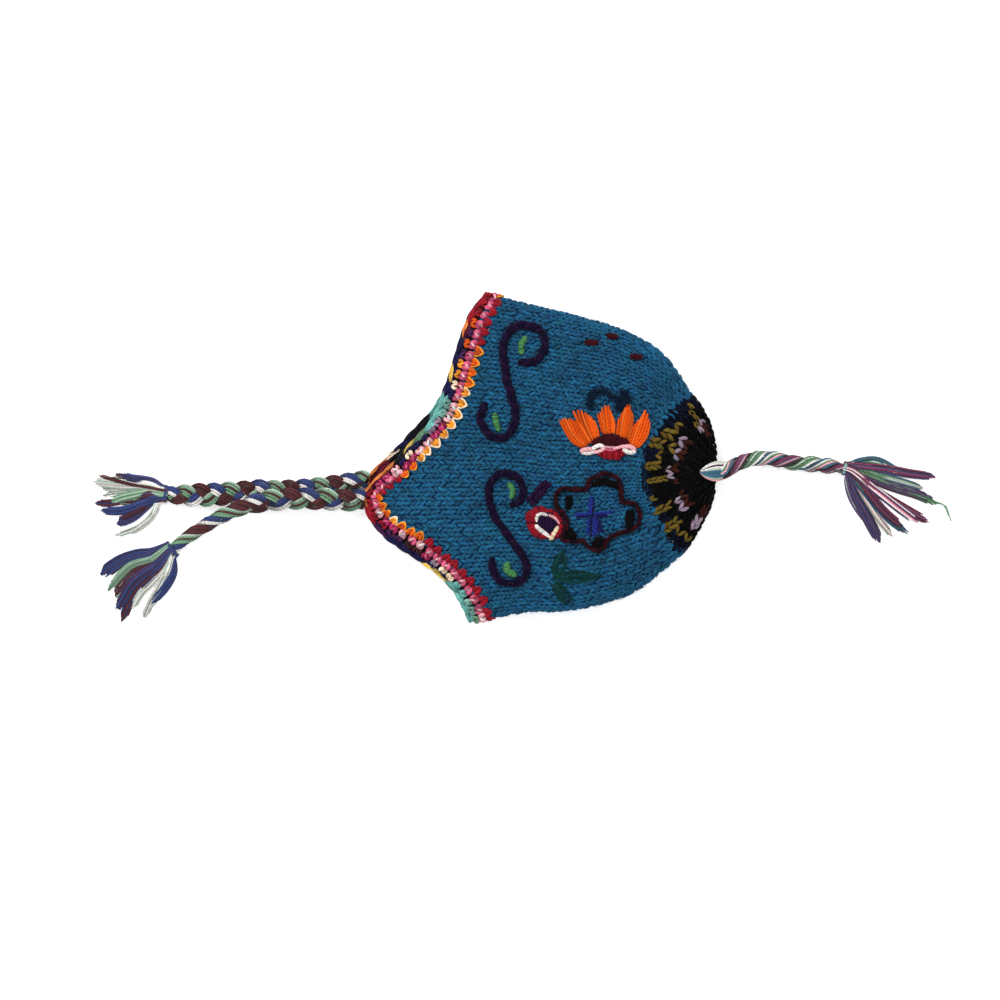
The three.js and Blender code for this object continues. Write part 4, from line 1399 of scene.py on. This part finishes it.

# %% [markdown]
# ### The outer chain
# The last round is a chain lying on its side: links of two plies that lean over each other in two
# rows. Where the yarn is orange, yellow or purple, the inner row takes a darker dye, partly the
# yarn's second colour and partly painted shade. Every link is darker towards its ends, as painted shade.

# %% The outer chain
CHAIN_LINK, LINK_REACH = 12.4, 0.72
# for each stripe the inner row's dye, darker partly as painted shade, and then the outer row's dye
ROW_DYES_AND_SHADE = {"orange": ("deep wine", "peach"), "yellow": ("navy", "yellow"), "purple": ("navy", "purple")}
link_count = round(BORDER_LENGTH / CHAIN_LINK)
links = np.arange(link_count) * BORDER_LENGTH / link_count
chain_names = names_at(CHAIN, HIDDEN["chain"], links, 0.88)
reach = np.linspace(-LINK_REACH, LINK_REACH, 10)
curl = np.cos(reach * np.pi / (2 * LINK_REACH))
# painted shade: each link is dyed darker towards its ends, where it goes under the next
chain_shade = 0.35 + 0.65 * np.sqrt(curl.clip(0))
for row, (hand, out) in enumerate(((-1, 0.81), (1, 0.945))):
    names = [ROW_DYES_AND_SHADE.get(name, (name, name))[row] for name in chain_names]
    for ply in (-0.5, 0.5):
        link_along = links[:, None] + reach * CHAIN_LINK + ply
        link_out = out - hand * 0.09 * (reach + 0.2) + ply * 0.075 * curl
        link_lift = 0.5 + 2.0 * curl + 0.4 * hand * reach + uneven(0.2, link_count)
        work(link_along, link_out, link_lift, 0.34 + 0.72 * curl, names, 0.22, shade=chain_shade)
print("chain links:", link_count)

# %% [markdown]
# ### The lower flap's inner face
# The lower flap peeks out beyond the upper one and shows its inner face, so the hidden half of the
# border has chains on that side too, painted darker and darker towards the shadow between the flaps
# as painted shade.

# %% The lower flap's chains
# painted shade: rounds further in swap their dyes for darker ones, the last four all ink but orange and
# yellow
INNER_SHADED_ROUNDS = [(0.97, {"orange": "peach"}, None), (0.87, {"orange": "deep wine"}, None)]
INNER_SHADED_ROUNDS += [(out, {"orange": "deep wine", "yellow": "navy"}, "ink") for out in (0.77, 0.67, 0.57, 0.47)]
shown = links[links > TOP_BORDER]
shown_spots, _ = border(shown, 0.85, 0.0)
shown_names = [name_across(INNER_CHAIN, spot[1]) for spot in shown_spots]
for out, swaps, other in INNER_SHADED_ROUNDS:
    names = swapped(shown_names, swaps, other)
    shuffle = CHANCE.uniform(-0.3, 0.3, (len(shown), 1))
    for ply in (-0.5, 0.5):
        link_along = shown[:, None] + (reach + shuffle) * CHAIN_LINK + ply * 3
        link_out = out - 0.05 * reach + ply * 0.06 * curl
        link_lift = -1.0 - 0.8 * curl + uneven(0.2, len(shown))
        work(link_along, link_out, link_lift, 0.35 + 0.55 * curl, names, 0.3, sides=6)
print("links on the inner face:", len(INNER_SHADED_ROUNDS) * len(shown))

# %% [markdown]
# ### The border's core
# Real stitches are packed so tightly that no light comes through. A flat ring inside the border fills
# it, dyed dark maroon at 0.35 as painted shade, and the strands of all four rounds are joined with it
# in one piece.

# %% The border's core
CORE_SIDES, CORE_HEIGHT = 10, 1.2
core_line, core_facing = border(BORDER_RUN[:-1], 0.6, 0.0)
core_angle = 2 * np.pi * np.arange(CORE_SIDES) / CORE_SIDES
core_half = border_width[:, None, None] * 0.34
core_rings = (core_line[:, None] + np.cos(core_angle)[:, None] * border_out[:, None] * core_half
              + np.sin(core_angle)[:, None] * core_facing[:, None] * CORE_HEIGHT)
core_points = core_rings.reshape(-1, 3)
core_points[:, 2] = np.maximum(core_points[:, 2], 0.2)
# painted shade: the core is a dark ring
core_shade_dye = np.broadcast_to(dye("maroon", 0.35), core_points.shape)
core_quads = closed_quads(EDGE_COUNT, CORE_SIDES)
border_parts.append(plain_part(core_points, core_quads, np.zeros((0, 3), int), core_shade_dye))
edging = sew("crochet_border", border_parts, CROCHET_WOOL)
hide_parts("crochet_edging")

# %% [markdown]
# ## Embroidery
# The flowers and scrolls are sewn over the finished knitting in thick floss. Threads are placed by
# grid spots on the top layer; each is dropped straight down to the cloth and raised by its own
# height, so it follows the bulge of the hat from every side.

# %% Dropping threads on the cloth
FAR_ABOVE, HAT_MIDDLE = 90, 20
width = HALF_COUNT + 1
r, c = np.indices((len(PLACES) - 1, HALF_COUNT)).reshape(2, -1)
top_faces = np.stack([r * width + c, r * width + c + 1, (r + 1) * width + c + 1, (r + 1) * width + c], axis=1)
cloth_tree = BVHTree.FromPolygons(ROUNDS[:, :width].reshape(-1, 3).tolist(), top_faces.tolist())


def drop(line, lift):
    """Points and facing over the top layer for a line on the table."""
    points, facings = [], []
    for (x, y), height in zip(np.asarray(line, float), np.broadcast_to(lift, len(line))):
        hit, normal, _, _ = cloth_tree.ray_cast(Vector((x, y, FAR_ABOVE)), Vector((0, 0, -1)))
        if hit is None:
            hit, normal, _, _ = cloth_tree.find_nearest(Vector((x, y, HAT_MIDDLE)))
        normal = normal if normal.z > 0 else -normal
        points.append(hit + normal * height)
        facings.append(normal)
    return np.array(points), np.array(facings)


print("faces to drop threads on:", len(top_faces))

# %% [markdown]
# ### Ways to sew
# A plain thread is one strand. Satin stitch over a laid strand is many slanting threads side by side,
# with a fat strand under them that is dyed darker as painted shade. A thick yarn that is sewn down
# shows its own twist, so it is a few strands that circle each other, with lumps where the wool is
# uneven and a halo of loose fibre ends.
# Curve objects with a bevel could make the same, but these lie on the cloth at every point.

# %% Ways to sew
LUMP_GAP = 2.6
THREAD_END = 0.7


def threads(lines, lift, radius, names, spread=0.12, arch=0.0, sides=6, rings=8):
    """Threads over the cloth; arch raises the middle of each."""
    bow = arch * np.sin(np.linspace(0, np.pi, rings))
    paths, facings = zip(*(drop(flow(line, rings), lift + bow) for line in lines))
    plump = np.ones(rings)
    plump[[0, -1]] = THREAD_END
    return spin(paths, radius * plump, dyes(names, spread), np.array(facings), sides=sides)


def wound_cord(spots, width, height, names, slant=0.5, gap=1.15, thread=0.72):
    """A raised cord of slanting threads side by side, as satin stitch over a laid strand."""
    line = on_table(spots)
    count = max(4, int(length_of(flow(line, 200)) / gap))
    centre = flow(line, count)
    ahead, left = flat_ways(centre)
    share = np.linspace(0, 1, count)
    full = np.sqrt(np.clip(1 - (2 * share - 1) ** 8, 0.15, 1))
    lines = []
    for k in range(count):
        reach = width / 2 * full[k] * CHANCE.uniform(0.88, 1.08)
        lean = ahead[k] * slant * reach
        shift = CHANCE.normal(0, 0.15)
        steps = np.linspace(-1, 1, 5)[:, None]
        lines.append(centre[k] + steps * (left[k] * reach + lean) + ahead[k] * shift)
    return threads(lines, 0.7, thread, in_turn(names, count), arch=height, rings=7)


def padding(spots, width, height, name):
    """The laid strand under a wound cord, dyed darker than its colour as painted shade."""
    line = on_table(spots)
    points, facing = drop(flow(line, max(8, int(length_of(line) / 2.5))), 0.4)
    # painted shade: the laid strand is dyed at 0.6 of its colour
    return spin([points], width / 2, dye(name, 0.6), facing[None], sides=10, flat=height * 2 / width)


def twisted(spots, width, names, pitch, lift, closed=False):
    """Strands that circle each other along a line of grid spots, like one thick twisted yarn."""
    line = on_table(spots)
    reach = length_of(flow(line, 200, closed))
    middle = flow(line, int(reach / 1.1), closed)
    _, left = flat_ways(middle)
    run = np.linspace(0, reach, len(middle))
    thin = np.sqrt(np.clip(np.minimum(run, reach - run) / width + 0.35, 0, 1))
    if closed:
        thin = np.ones(len(middle))
    knots = np.arange(0, reach + LUMP_GAP, LUMP_GAP)
    middle = middle + left * np.interp(run, knots, CHANCE.normal(0, 0.06 * width, len(knots)))[:, None]
    lumps = 1 + np.interp(run, knots, CHANCE.normal(0, 0.15, len(knots)))
    parts = []
    for k, name in enumerate(names):
        swing = 2 * np.pi * (run / pitch + k / len(names)) + 0.5 * np.sin(run / 9 + k)
        sway = left * (np.sin(swing) * width * 0.25 * thin)[:, None]
        points, facing = drop(middle + sway, lift + width * 0.16 * (1 + np.cos(swing)) * thin)
        swell = 1 + 0.12 * np.sin(run / 2.3 + 2 * k) + CHANCE.normal(0, 0.03, len(run))
        radius = width * 0.27 * thin * lumps * swell
        parts.append(spin([points], radius, dyes([name], 0.08), facing[None], sides=8))
    return join(parts)


def halo(spots, width, count, name, closed=False):
    """Loose fibre ends that stand off a thick yarn."""
    middle = flow(on_table(spots), 160, closed)
    _, left = flat_ways(middle)
    paths, facings = [], []
    for _ in range(count):
        k = CHANCE.integers(0, len(middle))
        off = CHANCE.uniform(-1, 1)
        heading = CHANCE.uniform(0, 2 * np.pi)
        away = np.array([np.cos(heading), np.sin(heading)]) * CHANCE.uniform(1.2, 3.2)
        line = middle[k] + left[k] * off * width / 2 + away * np.linspace(0, 1, 4)[:, None]
        line[1:3] += CHANCE.normal(0, 0.3, (2, 2))
        crest = 0.8 + width * 0.4 * math.sqrt(1 - off * off)
        points, facing = drop(line, [crest - 0.3, crest + 0.3, crest * 0.7 + 0.3, crest * 0.4 + 0.4])
        paths.append(points)
        facings.append(facing)
    return spin(paths, 0.15, dyes([name] * count, 0.3), np.array(facings), sides=3)


# %% [markdown]
# ### Scrolls and seeds
# Two scrolls of thick purple yarn curl over the body, each with two leaf green seeds. The yarn
# is so dark that its form shows mostly in its outline and in its loose fibres, so it gets many; some
# fibres are a lighter mauve, as painted highlight.

# %% Scrolls and seeds
UPPER_SCROLL = [(519, 363), (528, 364), (537, 360), (544, 351), (545, 342), (541, 333), (533, 328),
                (523, 326), (513, 329), (506, 338), (503, 348), (503, 358), (505, 369), (507, 381),
                (511, 393), (514, 405), (515, 418), (513, 428), (508, 436), (500, 439), (492, 436),
                (485, 429), (481, 420), (482, 411), (486, 404)]
LOWER_SCROLL = [(511, 506), (519, 502), (523, 492), (520, 481), (511, 475), (500, 474), (492, 481),
                (489, 492), (491, 505), (496, 518), (505, 531), (514, 543), (523, 556), (527, 568),
                (523, 578), (512, 583), (502, 581), (495, 573), (492, 558)]
SEEDS = [[(526, 338), (521, 346), (522, 355)], [(495, 414), (496, 422), (499, 431)],
         [(509, 483), (513, 491), (511, 498)], [(508, 562), (507, 570), (516, 575)]]
SEED_WIDTHS = [4.9, 4.8, 4.6, 5.8]
scroll_parts = []
for spots, width in ((UPPER_SCROLL, 6.8), (LOWER_SCROLL, 6.2)):
    scroll_parts += [
        padding(spots, width * 0.7, 1.2, "night purple"),
        twisted(spots, width, ["night purple", "aubergine", "night purple"], 11, 0.3),
        halo(spots, width, 280, "aubergine"),
        halo(spots, width, 150, "dash purple"),
        # painted highlight: lighter mauve fibres over the dark yarn
        halo(spots, width, 110, "mauve"),
    ]
PURPLE_DASHES = [[(546, 481), (537, 491), (527, 501)], [(550, 483), (541, 494), (531, 505)]]
for spots in PURPLE_DASHES:
    scroll_parts += [
        twisted(spots, 4.4, ["dash purple", "aubergine", "dash purple"], 9, 0.0),
        halo(spots, 4.6, 70, "dash purple"),
    ]
sew("purple_scrolls", scroll_parts, FLOSS)

seed_parts = []
for spots, width in zip(SEEDS, SEED_WIDTHS):
    seed_parts += [
        padding(spots, width * 0.7, 1.4, "leaf"),
        wound_cord(spots, width, 1.9, ["leaf", "grass", "leaf"], slant=0.05, gap=1.05, thread=0.62),
    ]
sew("green_seeds", seed_parts, FLOSS)

# %% [markdown]
# ### Satin stitches
# Satin stitch lays threads side by side from edge to edge of a shape. Its first and last threads and
# a few between them are given as key threads of three points each, and all the threads
# are blended from these: four key threads make a petal of seven threads and the four over them.

# %% Satin stitches
def satin(keys, count, lift, radius, names, arch=0.8, ragged=0.3, spread=0.12):
    """Threads side by side that blend from one key thread to the next, each from base to tip."""
    keys = on_table(keys)
    lines = np.stack([flow(keys[:, i], count) for i in range(keys.shape[1])], axis=1)
    lines = lines + CHANCE.normal(0, 0.1, lines.shape)
    lines[:, -1] += unit(lines[:, -1] - lines[:, -2]) * CHANCE.normal(0, ragged, (count, 1))
    return threads(lines, lift, radius, in_turn(names, count), spread, arch=arch, rings=10)


# %% [markdown]
# ### The orange flower
# Half a daisy: long threads from the base to the ragged ends of each petal, with thinner ones over
# them that alternate with a lighter orange as painted highlight, a maroon half moon at its heart, a
# red half moon below and pale loops across.

# %% Orange flower
PETALS = [
    [[(582, 448), (571, 441), (559, 420)], [(584, 447), (574, 436), (563, 419)],
     [(587, 445), (577, 433), (569, 420)], [(590, 443), (583, 431), (577, 421)]],
    [[(590, 443), (581, 429), (573, 412)], [(593, 441), (585, 426), (578, 411)],
     [(596, 439), (590, 427), (584, 413)], [(598, 438), (596, 429), (593, 421)]],
    [[(602, 434), (600, 425), (597, 416)], [(605, 435), (603, 420), (603, 407)],
     [(609, 435), (608, 420), (607, 406)], [(613, 435), (613, 424), (610, 415)]],
    [[(616, 437), (617, 427), (618, 418)], [(619, 438), (621, 424), (623, 411)],
     [(622, 439), (625, 422), (627, 405)], [(626, 439), (630, 427), (631, 417)]],
    [[(627, 445), (629, 435), (634, 425)], [(631, 447), (636, 434), (641, 417)],
     [(634, 448), (641, 435), (645, 411)], [(637, 448), (645, 437), (648, 425)]],
]
FLOWER_EYE = [[(592, 446), (592, 444), (592, 441)], [(601, 447), (600, 442), (600, 436)],
              [(609, 447), (609, 441), (609, 434)], [(618, 447), (618, 442), (618, 436)],
              [(627, 446), (627, 444), (627, 441)]]
RED_MOON = [[(594, 451), (596, 452), (597, 454)], [(600, 450), (600, 454), (601, 458)],
            [(609, 450), (609, 455), (608, 460)], [(617, 450), (618, 455), (617, 460)],
            [(624, 449), (624, 452), (623, 455)]]
PALE_LOOPS = [
    ([(580, 452), (586, 450), (592, 450)], 2.0, "pale pink"),
    ([(581, 453), (588, 454), (594, 452)], 1.5, "white"),
    ([(591, 450), (596, 447), (600, 446), (603, 448)], 1.7, "white"),
    ([(592, 453), (598, 452), (604, 449)], 1.4, "pale pink"),
    ([(602, 447), (608, 448), (614, 448)], 1.0, "pale pink"),
    ([(604, 450), (611, 451), (617, 449)], 0.8, "pink"),
    ([(612, 449), (618, 448), (623, 446)], 1.2, "pale pink"),
    ([(621, 448), (627, 447), (632, 449), (634, 451)], 1.8, "pale pink"),
    ([(622, 450), (628, 453), (634, 452)], 1.9, "white"),
]
flower_parts = []
for keys in PETALS:
    flower_parts += [
        satin(keys, 7, 0.8, 1.22, ["orange"], arch=1.0, ragged=0.5, spread=0.16),
        # painted highlight: the upper threads alternate orange and a lighter orange
        satin(keys, 4, 1.8, 0.72, ["orange", "highlight orange"], arch=1.0, ragged=1.2, spread=0.2),
    ]
flower_parts.append(satin(FLOWER_EYE, 19, 1.5, 0.95, ["maroon"], arch=0.9))
flower_parts.append(satin(RED_MOON, 16, 1.1, 1.0, ["dark red", "red", "dark red"], arch=0.9))
for spots, radius, name in PALE_LOOPS:
    flower_parts.append(threads([on_table(spots)], 2.0, radius, [name], arch=0.9, rings=10, sides=8))
sew("orange_flower", flower_parts, FLOSS)

# %% [markdown]
# ### Rosette
# A ring of red threads that point at the middle, with painted shade in the seams between its lobes,
# where threads take a darker wine, and over it four pale lobes of satin stitch round a purple eye. The
# ring's threads run from a circle to a given outline, since a round rosette would look too neat for
# hand sewing.

# %% Rosette
ROSETTE = np.array([546.5, 522.5])
RED_EDGE = np.array([
    (525.5, 513), (531, 510), (537, 506), (542, 506), (547, 509.5), (553, 509.5), (558.5, 514),
    (562.5, 521), (563.5, 529), (561, 535), (556, 539), (550, 538), (545, 538), (538, 538), (532, 534.5),
    (529, 530), (526.5, 523),
])
RED_INSIDE = 10.5
RED_THREADS, RED_LOBE = 84, 14
edge_rays = RED_EDGE - ROSETTE
edge_angles = np.arctan2(edge_rays[:, 1], edge_rays[:, 0])
edge_reaches = np.linalg.norm(edge_rays, axis=1)
red_lines = []
for angle in np.arange(RED_THREADS) * 2 * np.pi / RED_THREADS:
    ray = np.array([np.cos(angle), np.sin(angle)])
    reach = np.interp(angle, edge_angles, edge_reaches, period=2 * np.pi)
    stops = (RED_INSIDE, (RED_INSIDE + reach) / 2, reach)
    red_lines.append(on_table([ROSETTE + ray * stop for stop in stops]))
# painted shade: two threads of each lobe's fourteen take deep wine, as dark seams between the lobes
red_names = [("deep wine" if k % RED_LOBE < 2 else ("red", "dark red")[k % 2]) for k in range(RED_THREADS)]
PALE_LOBES = [
    ([(537, 521), (537, 516), (541, 513.5), (547, 515)], 2.8, "white"),
    ([(549, 515), (555, 518), (559, 523)], 2.6, "pale pink"),
    ([(536, 525), (541, 530), (549, 536)], 4.4, "white"),
    ([(558, 526), (555, 532), (550, 539)], 4.4, "cream"),
]
PURPLE_EYE = [[(539, 519), (538.5, 522), (540, 526)], [(543, 515.5), (542, 523), (545, 530)],
              [(548, 515), (548, 524), (549, 533)], [(553, 517), (553, 524), (552, 530)],
              [(556, 520), (556.5, 523), (555, 527)]]
rosette_parts = [
    threads(red_lines, 0.9, 0.62, red_names, arch=1.3, rings=6),
    satin(PURPLE_EYE, 15, 1.6, 0.78, ["aubergine", "dash purple", "aubergine"], arch=1.2),
]
for spots, width, name in PALE_LOBES:
    rosette_parts += [
        padding(spots, width * 0.6, 1.2, name),
        wound_cord(spots, width, 2.2, [name], slant=0.0, gap=0.95, thread=0.6),
    ]
sew("rosette", rosette_parts, FLOSS)

# %% [markdown]
# ### Star flower
# Only the outline of a flower, sewn with a thick maroon and black yarn, with black satin stitch in
# its corners and a cross of blue threads in the middle. Each arm of the cross is a few threads that
# lie almost flat in the knitting, with two more close beside each.

# %% Star flower
STAR = [(557, 493), (562, 489), (571, 489), (580, 490), (586, 489), (588, 482), (593, 477), (599, 475),
        (607, 474), (613, 476), (618, 481), (620, 488), (620, 496), (622, 503), (628, 502), (634, 505),
        (638, 512), (638, 520), (635, 526), (628, 530), (617, 533), (610, 536), (605, 541), (602, 547),
        (598, 550), (592, 549), (586, 545), (581, 540), (575, 541), (568, 541), (562, 538), (563, 532),
        (566, 525), (565, 518), (561, 512), (557, 507), (556, 500)]
BLACK_PATCHES = [
    [[(591, 487), (592, 485), (593, 482)], [(603, 486), (603, 482), (603, 478)],
     [(617, 489), (617, 486), (616, 483)]],
    [[(625, 511), (628, 511), (632, 510)], [(624, 520), (628, 519), (633, 518)],
     [(626, 529), (628, 529), (631, 527)]],
    [[(591, 545), (592, 543), (593, 540)], [(597, 547), (597, 542), (597, 537)],
     [(603, 543), (603, 541), (603, 538)]],
    [[(565, 497), (568, 497), (572, 497)], [(565, 503), (568, 503), (572, 502)],
     [(565, 509), (567, 509), (570, 509)]],
    [[(566, 531), (570, 529), (573, 530)], [(565, 536), (570, 535), (576, 535)],
     [(566, 541), (570, 541), (575, 541)]],
]
PATCH_THREADS = [22, 18, 12, 12, 12]
CROSS = [
    [(590, 496), (591, 513)], [(592, 499), (592, 514)], [(588, 500), (590, 516)], [(591, 514), (589, 537)],
    [(593, 516), (593, 537)], [(594, 516), (600, 536)], [(574, 514), (592, 513)], [(576, 517), (593, 515)],
    [(593, 513), (612, 512)], [(594, 516), (608, 515)], [(588, 518), (586, 535)], [(597, 518), (602, 534)],
    [(595, 517), (596, 534)],
]
BESIDE = [(0.0, 0.0), (0.9, 0.4), (-0.5, -0.9)]
star_parts = [
    twisted(STAR, 4.1, ["star maroon", "star dark", "maroon"], 13, 0.0, closed=True),
    halo(STAR, 6.5, 560, "ink", closed=True),
]
for keys, count in zip(BLACK_PATCHES, PATCH_THREADS):
    star_parts.append(satin(keys, count, 0.7, 0.8, ["black"], arch=0.7))
for (start, end), name in zip(CROSS, in_turn(["royal", "navy"], len(CROSS))):
    line = on_table([start, np.mean([start, end], axis=0), end])
    star_parts.append(threads([line + step for step in BESIDE], 0.1, 0.5, [name] * 3, arch=0.3, rings=10))
sew("star_flower", star_parts, FLOSS)

# %% [markdown]
# ### Small stitches
# A squiggle of blue yarn sunk into the knitting, three maroon dashes and a pine green sprig fill the
# ground between the flowers. They are small, but without them the hat would look bare.

# %% Small stitches
SQUIGGLES = [[(593, 412), (588, 404), (589, 396), (597, 391), (605, 394), (611, 399), (618, 402),
              (623, 397), (620, 390)],
             [(591, 409), (590, 400), (595, 395), (603, 391), (609, 397), (617, 399)],
             [(624, 391), (627, 399), (623, 406), (614, 411)],
             [(622, 394), (625, 401), (620, 404), (617, 409)]]
DASHES = [[(585, 343), (591, 344), (597, 345)], [(607, 336), (611, 337.5), (616, 339)],
          [(630, 357), (635, 358), (640, 359.5)]]
SPRIG = [
    [[(553, 577), (552, 565), (560, 551)], [(554, 577), (559, 564), (563, 549)],
     [(556, 577), (565, 568), (567, 556)]],
    [[(556, 576), (572, 570), (590, 572)], [(556, 577), (578, 575), (603, 574)],
     [(556, 578), (572, 583), (592, 579)]],
    [[(551, 579), (553, 590), (561, 601)], [(553, 579), (560, 591), (566, 605)],
     [(556, 580), (567, 590), (571, 602)]],
]
small_parts = []
for spots in SQUIGGLES:
    small_parts += [
        twisted(spots, 4.2, ["ground blue", "midnight", "ground blue"], 9, -0.9),
        halo(spots, 6.0, 130, "ground blue"),
    ]
for spots in DASHES:
    small_parts += [
        padding(spots, 3.0, 1.2, "maroon"),
        wound_cord(spots, 4.8, 1.6, ["maroon"], slant=0.6),
    ]
for keys in SPRIG:
    small_parts.append(satin(keys, 9, 0.35, 0.46, ["pine"], arch=0.5, ragged=1.4, spread=0.25))
sew("small_stitches", small_parts, FLOSS)

# %% [markdown]
# ## Table and light
# A plain pale table that glows a little, so that it stays white round the hat as in a product
# picture, an even white sky, and two large soft lamps: a strong one from the upper left, which
# gives the knitting its relief, and a weak one from the right.

# %% Table and lamps
TABLE_HALF, TABLE_GLOW, SKY = 6.0, 0.5, 0.75
LAMPS = [((-0.9, 1.1, 1.6), 1.4, 31.0), ((1.3, 0.3, 1.8), 1.6, 5.0)]
WHITE = (1.0, 1.0, 1.0, 1.0)

table_mesh = bpy.data.meshes.new("table")
corners = [(x * TABLE_HALF, y * TABLE_HALF, 0) for x, y in ((-1, -1), (1, -1), (1, 1), (-1, 1))]
table_mesh.from_pydata(corners, [], [(0, 1, 2, 3)])
table_mesh.materials.append(Recipe("table").finish({
    "Base Color": (0.9, 0.9, 0.9, 1.0), "Roughness": 0.9,
    "Emission Color": WHITE, "Emission Strength": TABLE_GLOW,
}))
table = put_in_scene("table", table_mesh)

world = bpy.data.worlds.new("studio")
bpy.context.scene.world = world
world.use_nodes = True
sky = world.node_tree.nodes["Background"].inputs
sky["Color"].default_value = WHITE
sky["Strength"].default_value = SKY

for place, size, power in LAMPS:
    lamp = bpy.data.lights.new("softbox", "AREA")
    lamp.shape = "DISK"
    lamp.size = size
    lamp.energy = power
    holder = put_in_scene("softbox", lamp)
    holder.location = place
    holder.rotation_euler = (-Vector(place)).to_track_quat("-Z", "Y").to_euler()
bpy.context.scene.view_settings.view_transform = "Standard"
print("lamps:", len(LAMPS))
